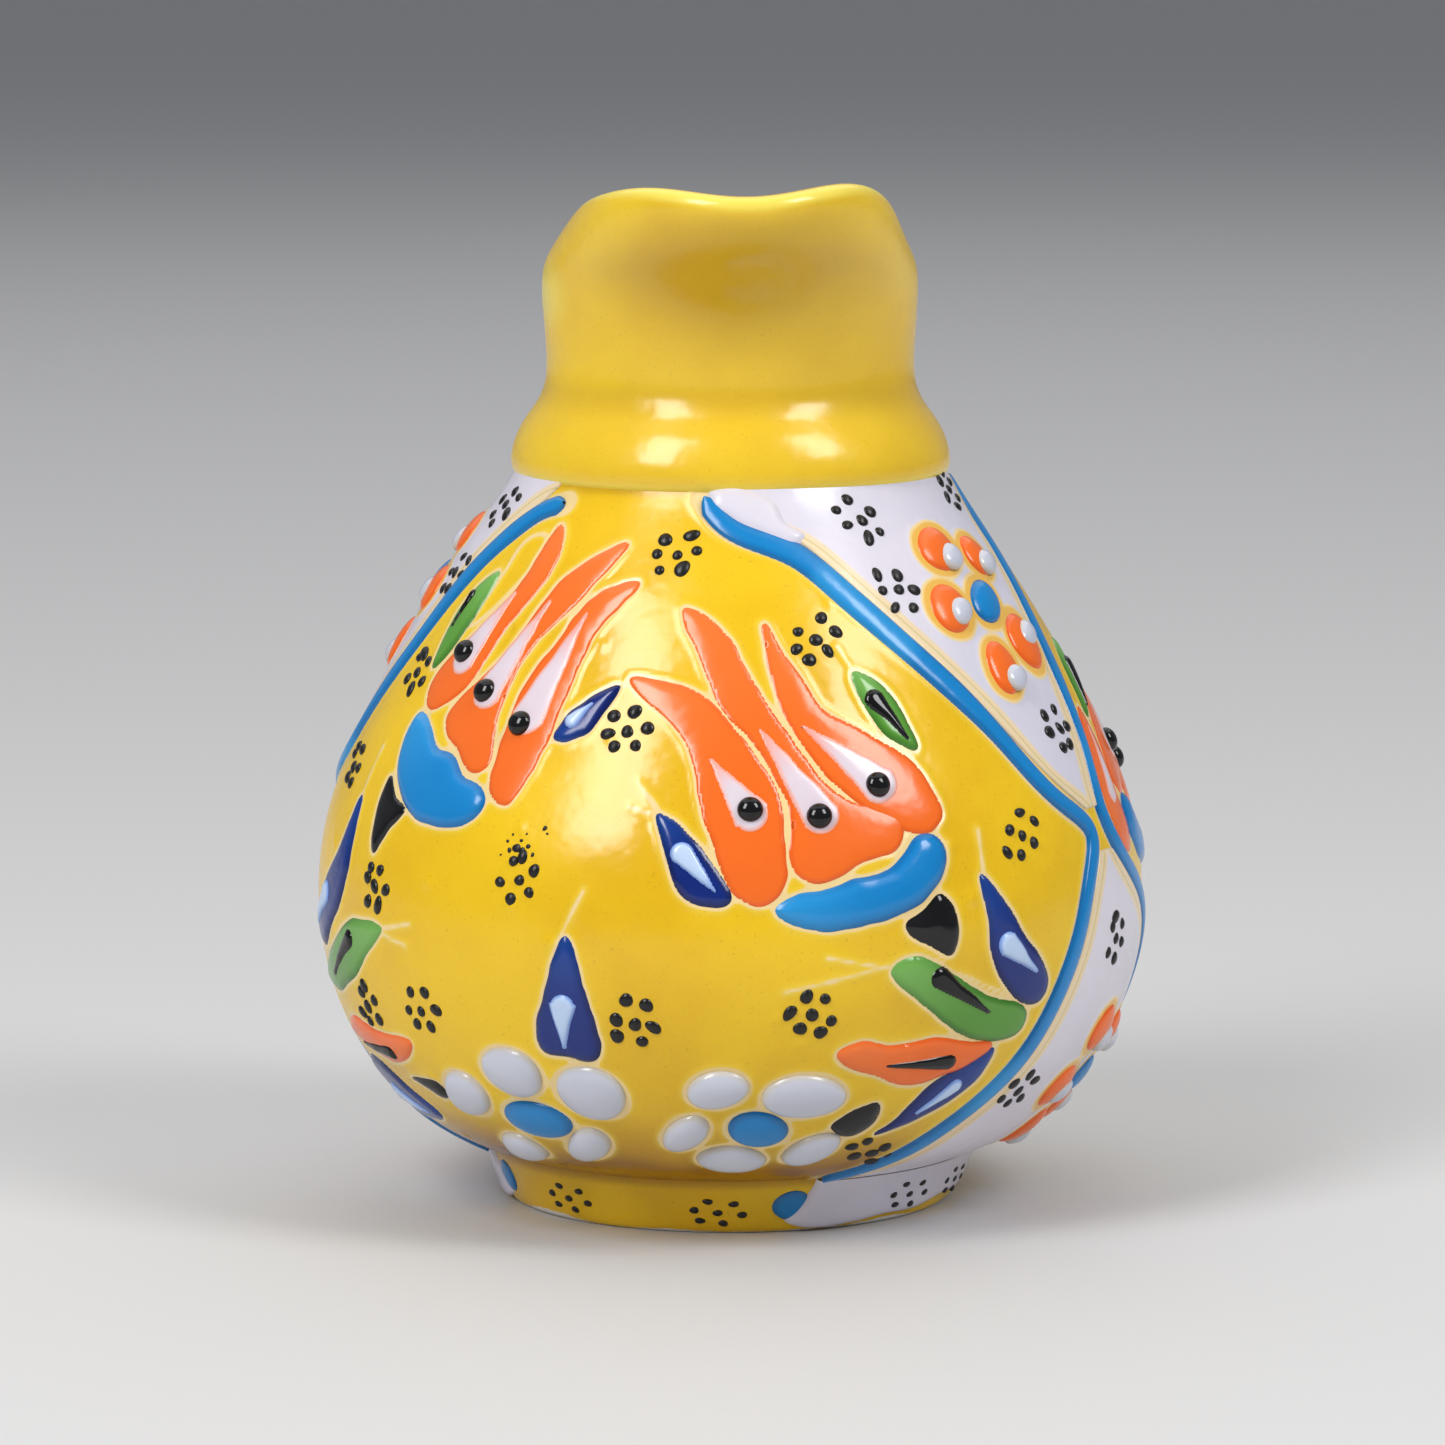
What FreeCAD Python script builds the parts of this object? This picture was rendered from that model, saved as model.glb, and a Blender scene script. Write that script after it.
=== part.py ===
import FreeCAD, Part
import math
import os

# Small pouring vase of glazed earthenware with raised enamel decoration.
#
# The vessel is thrown as three sections that are joined while wet: a foot ring, a pear-shaped
# belly with a hollow inside, and a neck whose front is drawn out into a pouring lip.
# The decoration is thick enamel trailed on the belly: borders, white grounds, flowers and dots.
#
# Frame: millimetres, +Z up, origin on the table at the centre of the foot, and the pouring lip
# points along -Y. A place on the belly is (turn, rise): turn is the angle in degrees round +Z
# from the pouring lip towards +X, and rise is the length along the belly's outer profile, from
# the groove above the foot. A motif's outline is drawn flat as (across, rise) in millimetres,
# where across is measured along the belly from the axis that the motif belongs to.

Vector = FreeCAD.Vector

# --- driving dimensions -----------------------------------------------------------------------

FOOT_INNER_RADIUS = 22.5
FOOT_BEARING_RADIUS = 25.2
FOOT_TOP_RADIUS = 28.8
FOOT_HEIGHT = 6.6
FOOT_INNER_CHAMFER = 0.5
COLLAR_HEIGHT = 87.0
COLLAR_RADIUS = 24.4
THROAT_RADIUS = 20.4
CAVITY_FLOOR = 11.5

# Control points (radius, height) of the outer profiles, each a clamped cubic B-spline.
FOOT_PROFILE = [(FOOT_BEARING_RADIUS, 0.0), (26.0, 0.0), (26.6, 0.7), (27.2, 2.6), (28.0, 4.8),
                (FOOT_TOP_RADIUS, FOOT_HEIGHT)]
BELLY_PROFILE = [(FOOT_TOP_RADIUS, FOOT_HEIGHT), (35.0, 8.8), (39.5, 13.0), (45.8, 21.0),
                 (49.1, 33.0), (47.9, 46.0), (42.5, 58.0), (36.7, 68.0), (31.3, 77.0),
                 (25.8, 83.8), (COLLAR_RADIUS, COLLAR_HEIGHT)]
CAVITY_PROFILE = [(THROAT_RADIUS, COLLAR_HEIGHT), (21.5, 83.0), (27.0, 76.0), (32.6, 67.0),
                  (38.5, 57.5), (43.8, 46.0), (45.0, 34.0), (41.8, 22.5), (34.0, 14.0),
                  (20.0, CAVITY_FLOOR), (0.0, CAVITY_FLOOR)]

# Rows of control points of the neck, from the collar up the outside, over the rim and down the
# inside. Each row is (radius, height) at the side of the mouth, then at the pouring lip.
NECK_ROWS = [((24.4, 87.0), (24.4, 87.0)), ((25.4, 87.8), (25.4, 87.8)),
             ((25.3, 90.4), (25.3, 90.4)), ((22.9, 93.2), (22.9, 93.2)),
             ((21.4, 96.0), (21.4, 96.0)), ((21.5, 100.5), (22.0, 100.0)),
             ((21.8, 104.6), (24.0, 105.5)), ((21.9, 107.6), (27.8, 109.8)),
             ((21.4, 109.8), (32.6, 113.6)), ((19.2, 111.4), (35.6, 119.6)),
             ((17.4, 109.8), (31.0, 120.4)), ((17.4, 106.4), (23.0, 115.0)),
             ((17.4, 100.5), (18.2, 104.0)), ((17.4, 96.0), (17.4, 96.0)),
             ((20.2, 92.6), (20.2, 92.6)), ((20.6, 89.0), (20.6, 89.0)),
             ((20.4, 87.0), (20.4, 87.0))]
NECK_COLUMNS = 48
LIP_FLARE_POWER = 7.0
RIM_RISE = 1.21
RIM_RISE_POWER = 2.4
LIP_DIP = 0.24
LIP_DIP_POWER = 45.0
CORNER_LEAN = 0.07
CORNER_LEAN_POWER = 3.0
SHOULDER = 0.16
SHOULDER_TURN = -65.0
SHOULDER_WIDTH = 25.0

# Heights of the enamel above what it lies on, and the white ground's thickness.
GROUND = 0.3
BORDER_EDGE = 0.15
BORDER_CROWN = 0.6
BORDER_SHOULDER = 0.48
BORDER_SHOULDER_PLACE = 0.6
BORDER_HALF_WIDTH = 1.3
PETAL = 0.35
LEAF = 0.45
STROKE = 0.4
CALYX = 0.7
DOT_RADIUS = 0.7
DOT_HEIGHT = 0.35
EYE_RADIUS = 1.45
EYE_HEIGHT = 0.95
BUTTON_SINK = 0.03
BUTTON_FULLNESS = 0.6
PAD_REACH = 9.0

# Turns of the axes on which the flat outlines are drawn, and mirror turns for their copies.
PANEL_AXIS = -30.0
FIELD_AXIS = 60.0
LEFT_FIELD_MIRROR = -48.0
BACK_AXIS = 156.0
BACK_RIGHT_TULIP_MIRROR = 100.0
BACK_LEFT_TULIP_MIRROR = 166.0
BACK_CENTRE_MIRROR = 136.0

# --- outlines of the motifs, drawn flat as (across, rise) from PANEL_AXIS ---------------------

RIGHT_PETALS = [
    [(6.0, 69.4), (10.2, 69.2), (14.4, 67.7), (18.8, 63.9), (23.0, 59.3), (25.8, 55.2),
     (27.2, 49.6), (27.6, 45.6), (25.6, 43.5), (23.0, 44.2), (19.8, 49.2), (17.4, 54.2),
     (15.4, 59.6), (12.4, 64.0), (8.4, 67.0)],
    [(10.3, 78.4), (14.0, 76.5), (18.0, 71.9), (22.0, 66.6), (26.0, 62.0), (30.2, 57.4),
     (35.0, 54.4), (40.6, 52.3), (40.6, 49.6), (37.0, 48.2), (33.8, 46.5), (30.0, 46.2),
     (28.3, 48.2), (27.8, 52.6), (25.4, 57.2), (21.4, 62.3), (17.0, 66.4), (14.2, 71.0)],
    [(19.8, 76.3), (22.4, 72.8), (25.8, 69.1), (27.6, 66.6), (31.8, 64.0), (36.6, 61.5),
     (40.8, 59.0), (44.0, 55.6), (45.7, 52.4), (44.0, 50.9), (40.4, 51.7), (35.6, 54.3),
     (30.4, 58.3), (26.5, 62.7), (23.0, 67.7)],
]
CORNER_PETAL = [(4.3, 50.4), (4.6, 55.0), (6.0, 59.0), (8.4, 62.0), (9.6, 58.6), (9.5, 54.0),
                (10.0, 50.0), (11.0, 46.8), (9.4, 44.4), (6.2, 46.4)]
CORNER_DROP = ((8.2, 59.4), (7.2, 51.6), 1.4)
RIGHT_DROPS = [((17.3, 59.9), (22.7, 53.8), 2.1), ((22.0, 63.5), (30.7, 53.4), 2.2),
               ((26.8, 63.8), (37.0, 56.7), 2.3)]
RIGHT_EYES = [(22.7, 54.2), (30.6, 53.3), (36.9, 56.6)]
RIGHT_CALYX = [(27.1, 42.9), (28.6, 44.2), (32.0, 44.8), (35.6, 45.9), (39.6, 46.8), (41.4, 48.4),
               (42.8, 50.3), (45.4, 50.2), (46.8, 48.0), (46.2, 45.4), (43.6, 42.9), (39.8, 41.5),
               (34.6, 40.6), (30.0, 41.0)]
RIGHT_BUD = [(42.3, 40.5), (44.4, 42.0), (46.5, 43.7), (48.1, 42.2), (48.8, 38.6), (48.0, 36.9),
             (45.6, 38.1), (43.0, 39.4)]

LEFT_PETALS = [
    [(-8.6, 88.2), (-7.6, 84.6), (-9.2, 79.7), (-12.5, 74.6), (-15.4, 68.6), (-19.4, 64.6),
     (-22.8, 63.9), (-23.4, 66.4), (-20.4, 70.8), (-15.4, 75.9), (-12.5, 79.6), (-11.0, 82.9)],
    [(1.1, 86.4), (-2.6, 84.2), (-6.4, 80.4), (-8.8, 76.0), (-12.0, 70.6), (-16.4, 65.8),
     (-18.3, 62.8), (-17.0, 60.8), (-14.4, 59.0), (-12.2, 57.1), (-10.3, 57.6), (-10.0, 61.6),
     (-9.3, 68.6), (-7.4, 73.2), (-4.4, 76.9), (-1.4, 81.2)],
    [(3.9, 81.5), (0.6, 80.5), (-2.0, 78.0), (-4.4, 73.2), (-6.8, 69.0), (-8.2, 63.4),
     (-8.9, 58.0), (-8.2, 54.4), (-6.2, 53.8), (-4.6, 56.0), (-3.0, 59.8), (-1.9, 65.0),
     (-0.7, 71.0), (1.2, 76.6)],
]
LEFT_DROPS = [((-12.5, 79.0), (-18.0, 70.3), 2.1), ((-6.7, 78.4), (-12.4, 66.6), 2.1),
              ((-1.3, 77.2), (-5.6, 64.3), 2.3)]
LEFT_EYES = [(-18.2, 71.0), (-12.8, 66.7), (-6.5, 63.3)]
LEFT_CALYX = [(-24.0, 62.8), (-21.6, 62.0), (-18.2, 59.1), (-15.4, 58.4), (-13.4, 56.4),
              (-10.4, 55.4), (-9.3, 53.6), (-10.9, 51.5), (-15.0, 50.4), (-20.0, 51.0),
              (-24.0, 53.8), (-25.8, 58.4)]
LEFT_BUD = [(-26.4, 54.8), (-25.0, 53.0), (-22.3, 51.4), (-24.4, 49.2), (-27.4, 46.0),
            (-28.2, 49.4)]

# Leaves on the right of the panel: outline, then the drop (tail, head, radius) that lies on it.
RIGHT_NAVY_LEAVES = [
    ([(12.5, 53.6), (15.2, 52.2), (18.6, 48.9), (21.0, 45.8), (21.8, 44.2), (17.6, 43.8),
      (15.2, 46.4), (13.4, 50.8)], ((20.0, 45.0), (15.9, 49.2), 1.3)),
    ([(52.0, 45.4), (54.2, 43.6), (57.6, 39.4), (60.4, 36.0), (62.4, 31.6), (61.0, 29.9),
      (58.4, 30.2), (55.6, 32.6), (53.6, 37.0), (53.0, 41.6)], ((60.2, 33.8), (55.9, 37.3), 1.5)),
    ([(53.3, 24.6), (49.4, 22.9), (44.6, 21.0), (41.0, 18.2), (37.4, 15.0), (35.2, 13.5),
      (42.0, 15.8), (47.0, 18.4), (51.2, 21.5)], ((41.0, 16.8), (46.8, 20.3), 1.0)),
]
RIGHT_GREEN_LEAVES = [
    ([(40.6, 35.6), (42.6, 36.8), (45.6, 36.1), (50.0, 33.2), (55.0, 30.7), (58.7, 28.4),
      (58.0, 26.9), (54.6, 25.8), (50.4, 26.5), (46.2, 29.5), (42.6, 32.9)],
     ((52.7, 29.7), (46.3, 34.3), 1.2)),
    ([(31.4, 70.2), (34.2, 69.0), (38.4, 65.0), (41.0, 60.6), (37.4, 62.2), (33.4, 66.4)],
     ((39.6, 61.8), (34.6, 66.7), 1.2)),
]
RIGHT_ORANGE_LEAVES = [
    ([(33.3, 25.8), (35.6, 27.1), (39.4, 26.5), (45.2, 27.0), (49.6, 26.0), (53.0, 25.1),
      (50.4, 23.4), (45.8, 22.0), (41.0, 21.0), (37.2, 22.8), (34.2, 24.2)],
     ((38.8, 24.1), (46.6, 23.9), 1.0)),
]
RIGHT_LOW_BUD = [(30.3, 15.2), (32.6, 17.0), (36.6, 18.4), (35.8, 16.2), (33.8, 14.2),
                 (32.0, 13.3)]

LEFT_NAVY_LEAVES = [
    ([(-33.0, 51.8), (-33.2, 47.6), (-34.0, 43.0), (-36.0, 39.0), (-40.0, 35.4), (-44.6, 33.0),
      (-46.6, 34.6), (-44.6, 38.6), (-40.4, 42.4), (-36.2, 47.0)],
     ((-45.0, 35.4), (-40.4, 39.6), 1.4)),
    ([(-22.6, 12.4), (-26.0, 15.2), (-30.4, 18.2), (-35.0, 19.4), (-38.0, 17.6), (-35.6, 13.4),
      (-30.6, 10.4), (-25.6, 10.2)], ((-25.0, 12.2), (-31.6, 14.4), 1.6)),
]
LEFT_GREEN_LEAVES = [
    ([(-24.8, 37.5), (-28.6, 37.9), (-32.6, 37.4), (-37.4, 34.6), (-42.6, 31.4), (-45.2, 28.8),
      (-41.4, 27.8), (-36.0, 29.2), (-31.2, 31.6), (-27.6, 34.9)],
     ((-38.6, 30.2), (-32.2, 35.4), 1.1)),
    ([(-16.8, 81.3), (-20.0, 79.4), (-22.4, 76.6), (-24.0, 72.8), (-24.3, 68.4), (-21.4, 71.4),
      (-19.4, 74.6), (-17.6, 78.2)], ((-22.5, 73.8), (-20.4, 78.0), 0.6)),
]
LEFT_ORANGE_LEAVES = [
    ([(-21.6, 24.0), (-26.6, 24.2), (-32.0, 24.6), (-37.6, 24.6), (-39.6, 22.8), (-36.4, 21.6),
      (-30.4, 20.6), (-24.6, 20.9)], ((-34.2, 21.8), (-26.2, 21.9), 0.9)),
]
LEFT_LOW_BUD = [(-24.2, 18.2), (-21.0, 18.7), (-18.6, 18.3), (-17.8, 17.1), (-18.6, 16.1),
                (-21.4, 17.2)]

CENTRE_NAVY_LEAVES = [
    ([(3.1, 39.3), (4.2, 37.2), (5.4, 32.6), (6.3, 28.6), (6.1, 25.6), (4.6, 24.8), (2.4, 25.3),
      (-0.6, 25.7), (-1.1, 27.4), (0.3, 32.4), (1.8, 37.2)], ((2.3, 26.6), (2.6, 31.4), 1.5)),
    ([(-1.6, 62.0), (1.4, 62.3), (3.6, 65.2), (4.8, 68.6), (1.8, 67.0), (-0.6, 64.6)],
     ((2.2, 66.2), (0.2, 64.0), 0.9)),
]

# Daisy petals and centres: (across, rise, half width, half height, tilt in degrees).
DAISY_CENTRES = [(-4.5, 14.9, 4.6, 3.0, 0.0), (21.7, 15.0, 3.6, 2.9, -20.0)]
DAISY_PETALS = [
    (-5.7, 22.2, 4.2, 3.3, 0.0), (4.0, 20.2, 4.3, 3.8, -10.0), (-14.0, 17.7, 3.6, 3.2, 45.0),
    (-8.8, 8.9, 3.0, 2.7, 0.0), (0.8, 11.0, 3.7, 2.4, 50.0), (18.8, 21.3, 3.5, 2.6, 15.0),
    (28.3, 20.1, 4.8, 3.1, 0.0), (13.3, 14.2, 3.6, 2.2, 55.0), (16.9, 9.2, 3.9, 2.8, 0.0),
    (26.6, 11.1, 3.7, 2.3, 40.0),
]
DAISY_HEIGHT = 1.3
DAISY_CENTRE_HEIGHT = 1.0

# Flower of the white grounds, drawn from FIELD_AXIS: petals, then the bead that lies on each.
FLOWER_CENTRE = (-3.5, 77.1, 3.2, 2.6, 40.0)
FLOWER_PETALS = [
    (-6.7, 84.4, 3.4, 2.8, 20.0), (0.3, 82.8, 2.7, 2.6, -40.0), (-10.5, 76.9, 3.1, 3.1, 0.0),
    (0.5, 71.5, 3.1, 3.8, 0.0), (-6.9, 68.9, 2.7, 3.4, -20.0),
]
FLOWER_BEADS = [(-5.7, 83.1), (1.1, 81.7), (-9.6, 76.3), (1.4, 72.2), (-6.0, 67.4)]
BEAD = (2.0, 1.6, 0.9)
BEAD_TILT = 20.0
FLOWER_PETAL_HEIGHT = 0.9
FLOWER_BEAD_BASE = 0.6
LOW_FLOWER_SHIFT = (11.0, -60.6)

# Centres (across, rise) of the clusters of seven dots, with the tilt of each cluster.
DOT_CLUSTER = [(0.0, 0.0), (-0.9, 2.4), (1.5, 1.9), (-2.2, 0.5), (2.3, -0.4), (-1.7, -1.7),
               (0.5, -2.2)]
FRONT_CLUSTERS = [
    ((7.3, 85.4), 20.0), ((-28.1, 67.4), -15.0), ((-39.4, 54.6), 5.0), ((-26.4, 41.9), 10.0),
    ((-3.4, 45.4), -30.0), ((6.9, 63.2), 25.0), ((25.8, 74.2), 40.0), ((57.9, 49.2), -10.0),
    ((10.7, 29.7), 0.0), ((31.0, 30.8), 60.0), ((-18.2, 28.6), 15.0), ((-29.9, 27.4), -20.0),
    ((33.4, 9.4), 30.0),
]
BACK_CLUSTERS = [
    ((-2.0, 86.0), 10.0), ((-29.1, 85.0), -20.0), ((-27.2, 52.0), 35.0), ((-3.8, 74.0), -10.0),
    ((10.6, 84.0), 25.0), ((12.8, 52.0), -35.0), ((25.0, 44.0), 15.0), ((-8.4, 33.0), 50.0),
    ((16.8, 33.0), 0.0), ((-23.4, 31.0), -25.0), ((63.5, 56.0), 20.0),
]
FIELD_CLUSTERS = [((-15.2, 89.2), 30.0), ((-16.6, 79.6), 10.0), ((5.0, 91.4), -25.0),
                  ((-1.5, 60.4), 15.0), ((1.4, 35.2), -10.0), ((-10.0, 17.8), 35.0)]

# Centre lines of the blue borders as (turn, rise), from the collar to the foot.
FRONT_RIGHT_BORDER = [(-10.5, 92.6), (-5.5, 89.4), (2.0, 87.2), (11.0, 84.8), (18.3, 80.4),
                      (27.0, 74.2), (42.0, 61.4), (52.0, 51.8), (57.0, 47.8), (54.8, 43.6),
                      (51.3, 37.4), (47.4, 30.0), (43.6, 23.4), (38.6, 17.4), (32.4, 11.6),
                      (24.5, 5.6), (17.0, 0.8)]
FRONT_LEFT_BORDER = [(-49.5, 91.0), (-56.0, 89.9), (-63.0, 87.0), (-68.5, 83.2), (-74.0, 77.6),
                     (-79.5, 70.0), (-86.0, 61.4), (-95.0, 53.4), (-104.5, 47.8), (-103.5, 42.6),
                     (-101.5, 35.4), (-98.5, 27.0), (-95.0, 19.0), (-90.0, 12.0), (-83.0, 5.4),
                     (-76.5, 0.8)]
BACK_LEFT_BORDER = [(92.0, 92.4), (85.0, 89.8), (79.8, 86.0), (75.4, 80.6), (71.6, 74.0),
                    (67.6, 65.6), (64.2, 57.0), (62.3, 50.0), (66.0, 44.8), (72.0, 40.8),
                    (77.6, 36.6), (82.0, 31.0), (85.4, 24.0), (88.0, 16.0), (89.8, 8.0),
                    (91.0, 0.8)]
BORDER_STATIONS = 48

# White grounds: the rises of their rows, and the turns of their edges, a little inside the
# borders. The left field's back edges are the right field's, mirrored.
UPPER_RISES = [94.3, 90.0, 87.2, 81.4, 75.6, 63.0, 53.8, 50.6]
UPPER_RIGHT_FRONT = [-6.5, 3.5, 12.5, 21.6, 29.6, 44.0, 53.6, 58.6]
UPPER_LEFT_FRONT = [-55.0, -61.5, -67.0, -74.0, -79.4, -88.6, -98.6, -106.6]
UPPER_BACK = [90.0, 80.4, 75.6, 73.0, 70.0, 64.4, 61.2, 59.9]
LOWER_RISES = [45.8, 42.4, 36.6, 30.0, 23.4, 17.4, 11.6, 5.6, 1.2]
LOWER_RIGHT_FRONT = [59.3, 56.8, 53.6, 50.0, 46.2, 41.4, 35.6, 28.0, 21.6]
LOWER_LEFT_FRONT = [-107.4, -106.2, -104.6, -102.2, -99.6, -96.8, -92.6, -86.4, -80.6]
LOWER_BACK = [61.4, 66.2, 75.0, 80.4, 83.6, 85.6, 87.0, 88.2, 88.8]
GROUND_COLUMNS = 9
RIGHT_FOOT_GLAZE = (16.0, 88.0)
LEFT_FOOT_GLAZE = (-81.0, -136.0)
FOOT_GLAZE_RISES = (7.2, 2.0)
FOOT_GLAZE_ROWS = 4
FOOT_GLAZE_COLUMNS = 12


# --- geometry on the vessel -------------------------------------------------------------------

def clamped_spline(points):
    """Clamped uniform cubic B-spline with the given (radius, height) control points."""
    poles = [Vector(radius, 0, height) for radius, height in points]
    spans = len(poles) - 3
    knots = [span / spans for span in range(spans + 1)]
    multiplicities = [4] + [1] * (spans - 1) + [4]
    curve = Part.BSplineCurve()
    curve.buildFromPolesMultsKnots(poles, multiplicities, knots, False, 3)
    return curve


def raised(points, height):
    """The same control points moved outwards along the normal of their polygon."""
    moved = []
    for place, (radius, rise) in enumerate(points):
        before = points[max(place - 1, 0)]
        after = points[min(place + 1, len(points) - 1)]
        along = Vector(after[0] - before[0], 0, after[1] - before[1])
        along.normalize()
        moved.append((radius + along.z * height, rise - along.x * height))
    return moved


FOOT_CURVE = clamped_spline(FOOT_PROFILE)
BELLY_CURVE = clamped_spline(BELLY_PROFILE)


def belly_radius(rise):
    """Outer radius of the belly at a length along its profile."""
    return BELLY_CURVE.value(BELLY_CURVE.parameterAtDistance(rise, 0.0)).x


def turned(flat, turn):
    """A vector of the XZ half-plane, carried round +Z so that turn 0 points along -Y."""
    angle = math.radians(turn)
    return Vector(flat.x * math.sin(angle), -flat.x * math.cos(angle), flat.z)


def surface_normal(curve, turn, rise):
    """Outward normal of a profile's surface at a place."""
    tangent = curve.tangent(curve.parameterAtDistance(rise, 0.0))[0]
    return turned(Vector(tangent.z, 0, -tangent.x), turn)


def surface_point(curve, turn, rise, height=0.0):
    """Point at a place on a profile's surface, or at a height above it."""
    flat = curve.value(curve.parameterAtDistance(rise, 0.0))
    return turned(flat, turn) + surface_normal(curve, turn, rise) * height


def place_from(axis):
    """Function that turns a flat (across, rise) of one axis into a place on the belly."""
    def place(across, rise):
        return axis + math.degrees(across / belly_radius(rise)), rise
    return place


def mirrored(place, mirror):
    """The same places mirrored: each turn becomes mirror - turn."""
    def mirror_place(across, rise):
        turn, height = place(across, rise)
        return mirror - turn, height
    return mirror_place


def shifted(place, across_shift, rise_shift):
    """The same motif drawn further across and further up or down."""
    def shift_place(across, rise):
        return place(across + across_shift, rise + rise_shift)
    return shift_place


def revolved(edges):
    """Solid of revolution about Z of a closed outline in the XZ half-plane."""
    return Part.Face(Part.Wire(edges)).revolve(Vector(), Vector(0, 0, 1), 360)


def line(start, end):
    """Straight edge between two (radius, height) points."""
    return Part.makeLine(Vector(start[0], 0, start[1]), Vector(end[0], 0, end[1]))


# --- the vessel -------------------------------------------------------------------------------

def foot_ring():
    """Turned ring that the vase stands on: flat bearing face, flared outside, straight inside."""
    chamfer_end = (FOOT_INNER_RADIUS, FOOT_INNER_CHAMFER)
    bearing_start = (FOOT_INNER_RADIUS + FOOT_INNER_CHAMFER, 0.0)
    inner_top = (FOOT_INNER_RADIUS, FOOT_HEIGHT)
    return revolved([line(bearing_start, FOOT_PROFILE[0]), FOOT_CURVE.toShape(),
                     line(FOOT_PROFILE[-1], inner_top), line(inner_top, chamfer_end),
                     line(chamfer_end, bearing_start)])


def belly_shell():
    """Hollow pear-shaped belly, open at the collar."""
    cavity = clamped_spline(CAVITY_PROFILE)
    under = (0.0, FOOT_HEIGHT)
    return revolved([BELLY_CURVE.toShape(), line(BELLY_PROFILE[-1], CAVITY_PROFILE[0]),
                     cavity.toShape(), line(CAVITY_PROFILE[-1], under),
                     line(under, BELLY_PROFILE[0])])


def neck_pole(row, angle):
    """Control point of the neck: its row, moved between side and lip by the angle from the lip.

    The radius follows the lip over a narrow front and the height over a wider one, with a
    shallow dip in the middle of the lip between two raised corners. The right corner is the
    higher one, and the left one is broader. The spread makes up for a closed cubic B-spline
    running a little inside its control points.
    """
    side, lip = row
    front = (1 + math.cos(angle)) / 2
    flare = front ** LIP_FLARE_POWER
    lift = RIM_RISE * front ** RIM_RISE_POWER - LIP_DIP * front ** LIP_DIP_POWER
    lift += CORNER_LEAN * math.sin(angle) * front ** CORNER_LEAN_POWER
    signed = (math.degrees(angle) + 180) % 360 - 180
    lift += SHOULDER * math.exp(-((signed - SHOULDER_TURN) / SHOULDER_WIDTH) ** 2)
    radius = side[0] + (lip[0] - side[0]) * flare
    height = side[1] + (lip[1] - side[1]) * lift
    spread = 3 / (2 + math.cos(2 * math.pi / NECK_COLUMNS))
    return Vector(radius * spread * math.sin(angle), -radius * spread * math.cos(angle), height)


def neck_spout():
    """Neck with collar, flared pouring lip and throat, as one periodic B-spline surface."""
    angles = [2 * math.pi * column / NECK_COLUMNS for column in range(NECK_COLUMNS)]
    poles = [[neck_pole(row, angle) for row in NECK_ROWS] for angle in angles]
    spans = len(NECK_ROWS) - 3
    around = [column / NECK_COLUMNS for column in range(NECK_COLUMNS + 1)]
    up = [span / spans for span in range(spans + 1)]
    skin = Part.BSplineSurface()
    skin.buildFromPolesMultsKnots(poles, [1] * (NECK_COLUMNS + 1), [4] + [1] * (spans - 1) + [4],
                                  around, up, True, False, 3, 3)
    outer = Part.Wire(skin.vIso(0.0).toShape())
    inner = Part.Wire(skin.vIso(1.0).toShape())
    seat = Part.makeFace([outer, inner], "Part::FaceMakerBullseye")
    return closed_solid([skin.toShape(), seat])


def closed_solid(faces):
    """Solid bounded by faces that meet along their edges, with its inside the right way round."""
    shell = Part.Compound(faces)
    shell.sewShape()
    solid = Part.Solid(shell.Shells[0])
    if solid.Volume < 0:
        solid.reverse()
    return solid


# --- enamel -----------------------------------------------------------------------------------

LAYERS = {}
CORES = {}


def core(height):
    """Filled belly, grown outwards by a height."""
    if height not in CORES:
        profile = raised(BELLY_PROFILE, height)
        foot = (0.0, profile[0][1])
        top = (0.0, profile[-1][1])
        CORES[height] = revolved([clamped_spline(profile).toShape(), line(profile[-1], top),
                                  line(top, foot), line(foot, profile[0])])
    return CORES[height]


def layer(base, height):
    """Skin round the belly, from one height above it to another."""
    if (base, height) not in LAYERS:
        inner = raised(BELLY_PROFILE, base)
        outer = raised(BELLY_PROFILE, base + height)
        LAYERS[base, height] = revolved([clamped_spline(outer).toShape(),
                                         line(outer[-1], inner[-1]),
                                         clamped_spline(inner).toShape(),
                                         line(inner[0], outer[0])])
    return LAYERS[base, height]


def smooth_wire(points):
    """Closed wire of one smooth curve through points."""
    curve = Part.BSplineCurve()
    curve.interpolate(Points=points, PeriodicFlag=True)
    return Part.Wire(curve.toShape())


def drop_wire(points):
    """Closed wire of a drop: two straight sides from the tail, and an arc round the head."""
    tail, left, tip, right = points
    return Part.Wire([Part.makeLine(tail, left), Part.Arc(left, tip, right).toShape(),
                      Part.makeLine(right, tail)])


def pad(outline, place, base, height, wire=smooth_wire):
    """Enamel that fills an outline, lying on the belly from one height to another."""
    places = [place(across, rise) for across, rise in outline]
    spots = [surface_point(BELLY_CURVE, turn, rise) for turn, rise in places]
    middle = sum(spots, Vector()) * (1 / len(spots))
    turn = sum(spot[0] for spot in places) / len(places)
    rise = sum(spot[1] for spot in places) / len(places)
    normal = surface_normal(BELLY_CURVE, turn, rise)
    flat = [spot - normal * (spot - middle).dot(normal) for spot in spots]
    face = Part.Face(wire(flat))
    face.translate(normal * -PAD_REACH)
    prism = face.extrude(normal * 2 * PAD_REACH)
    return layer(base, height).common(prism).Solids


def pads(outlines, place, base, height):
    """Several pads of one kind."""
    return [solid for outline in outlines for solid in pad(outline, place, base, height)]


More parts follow.
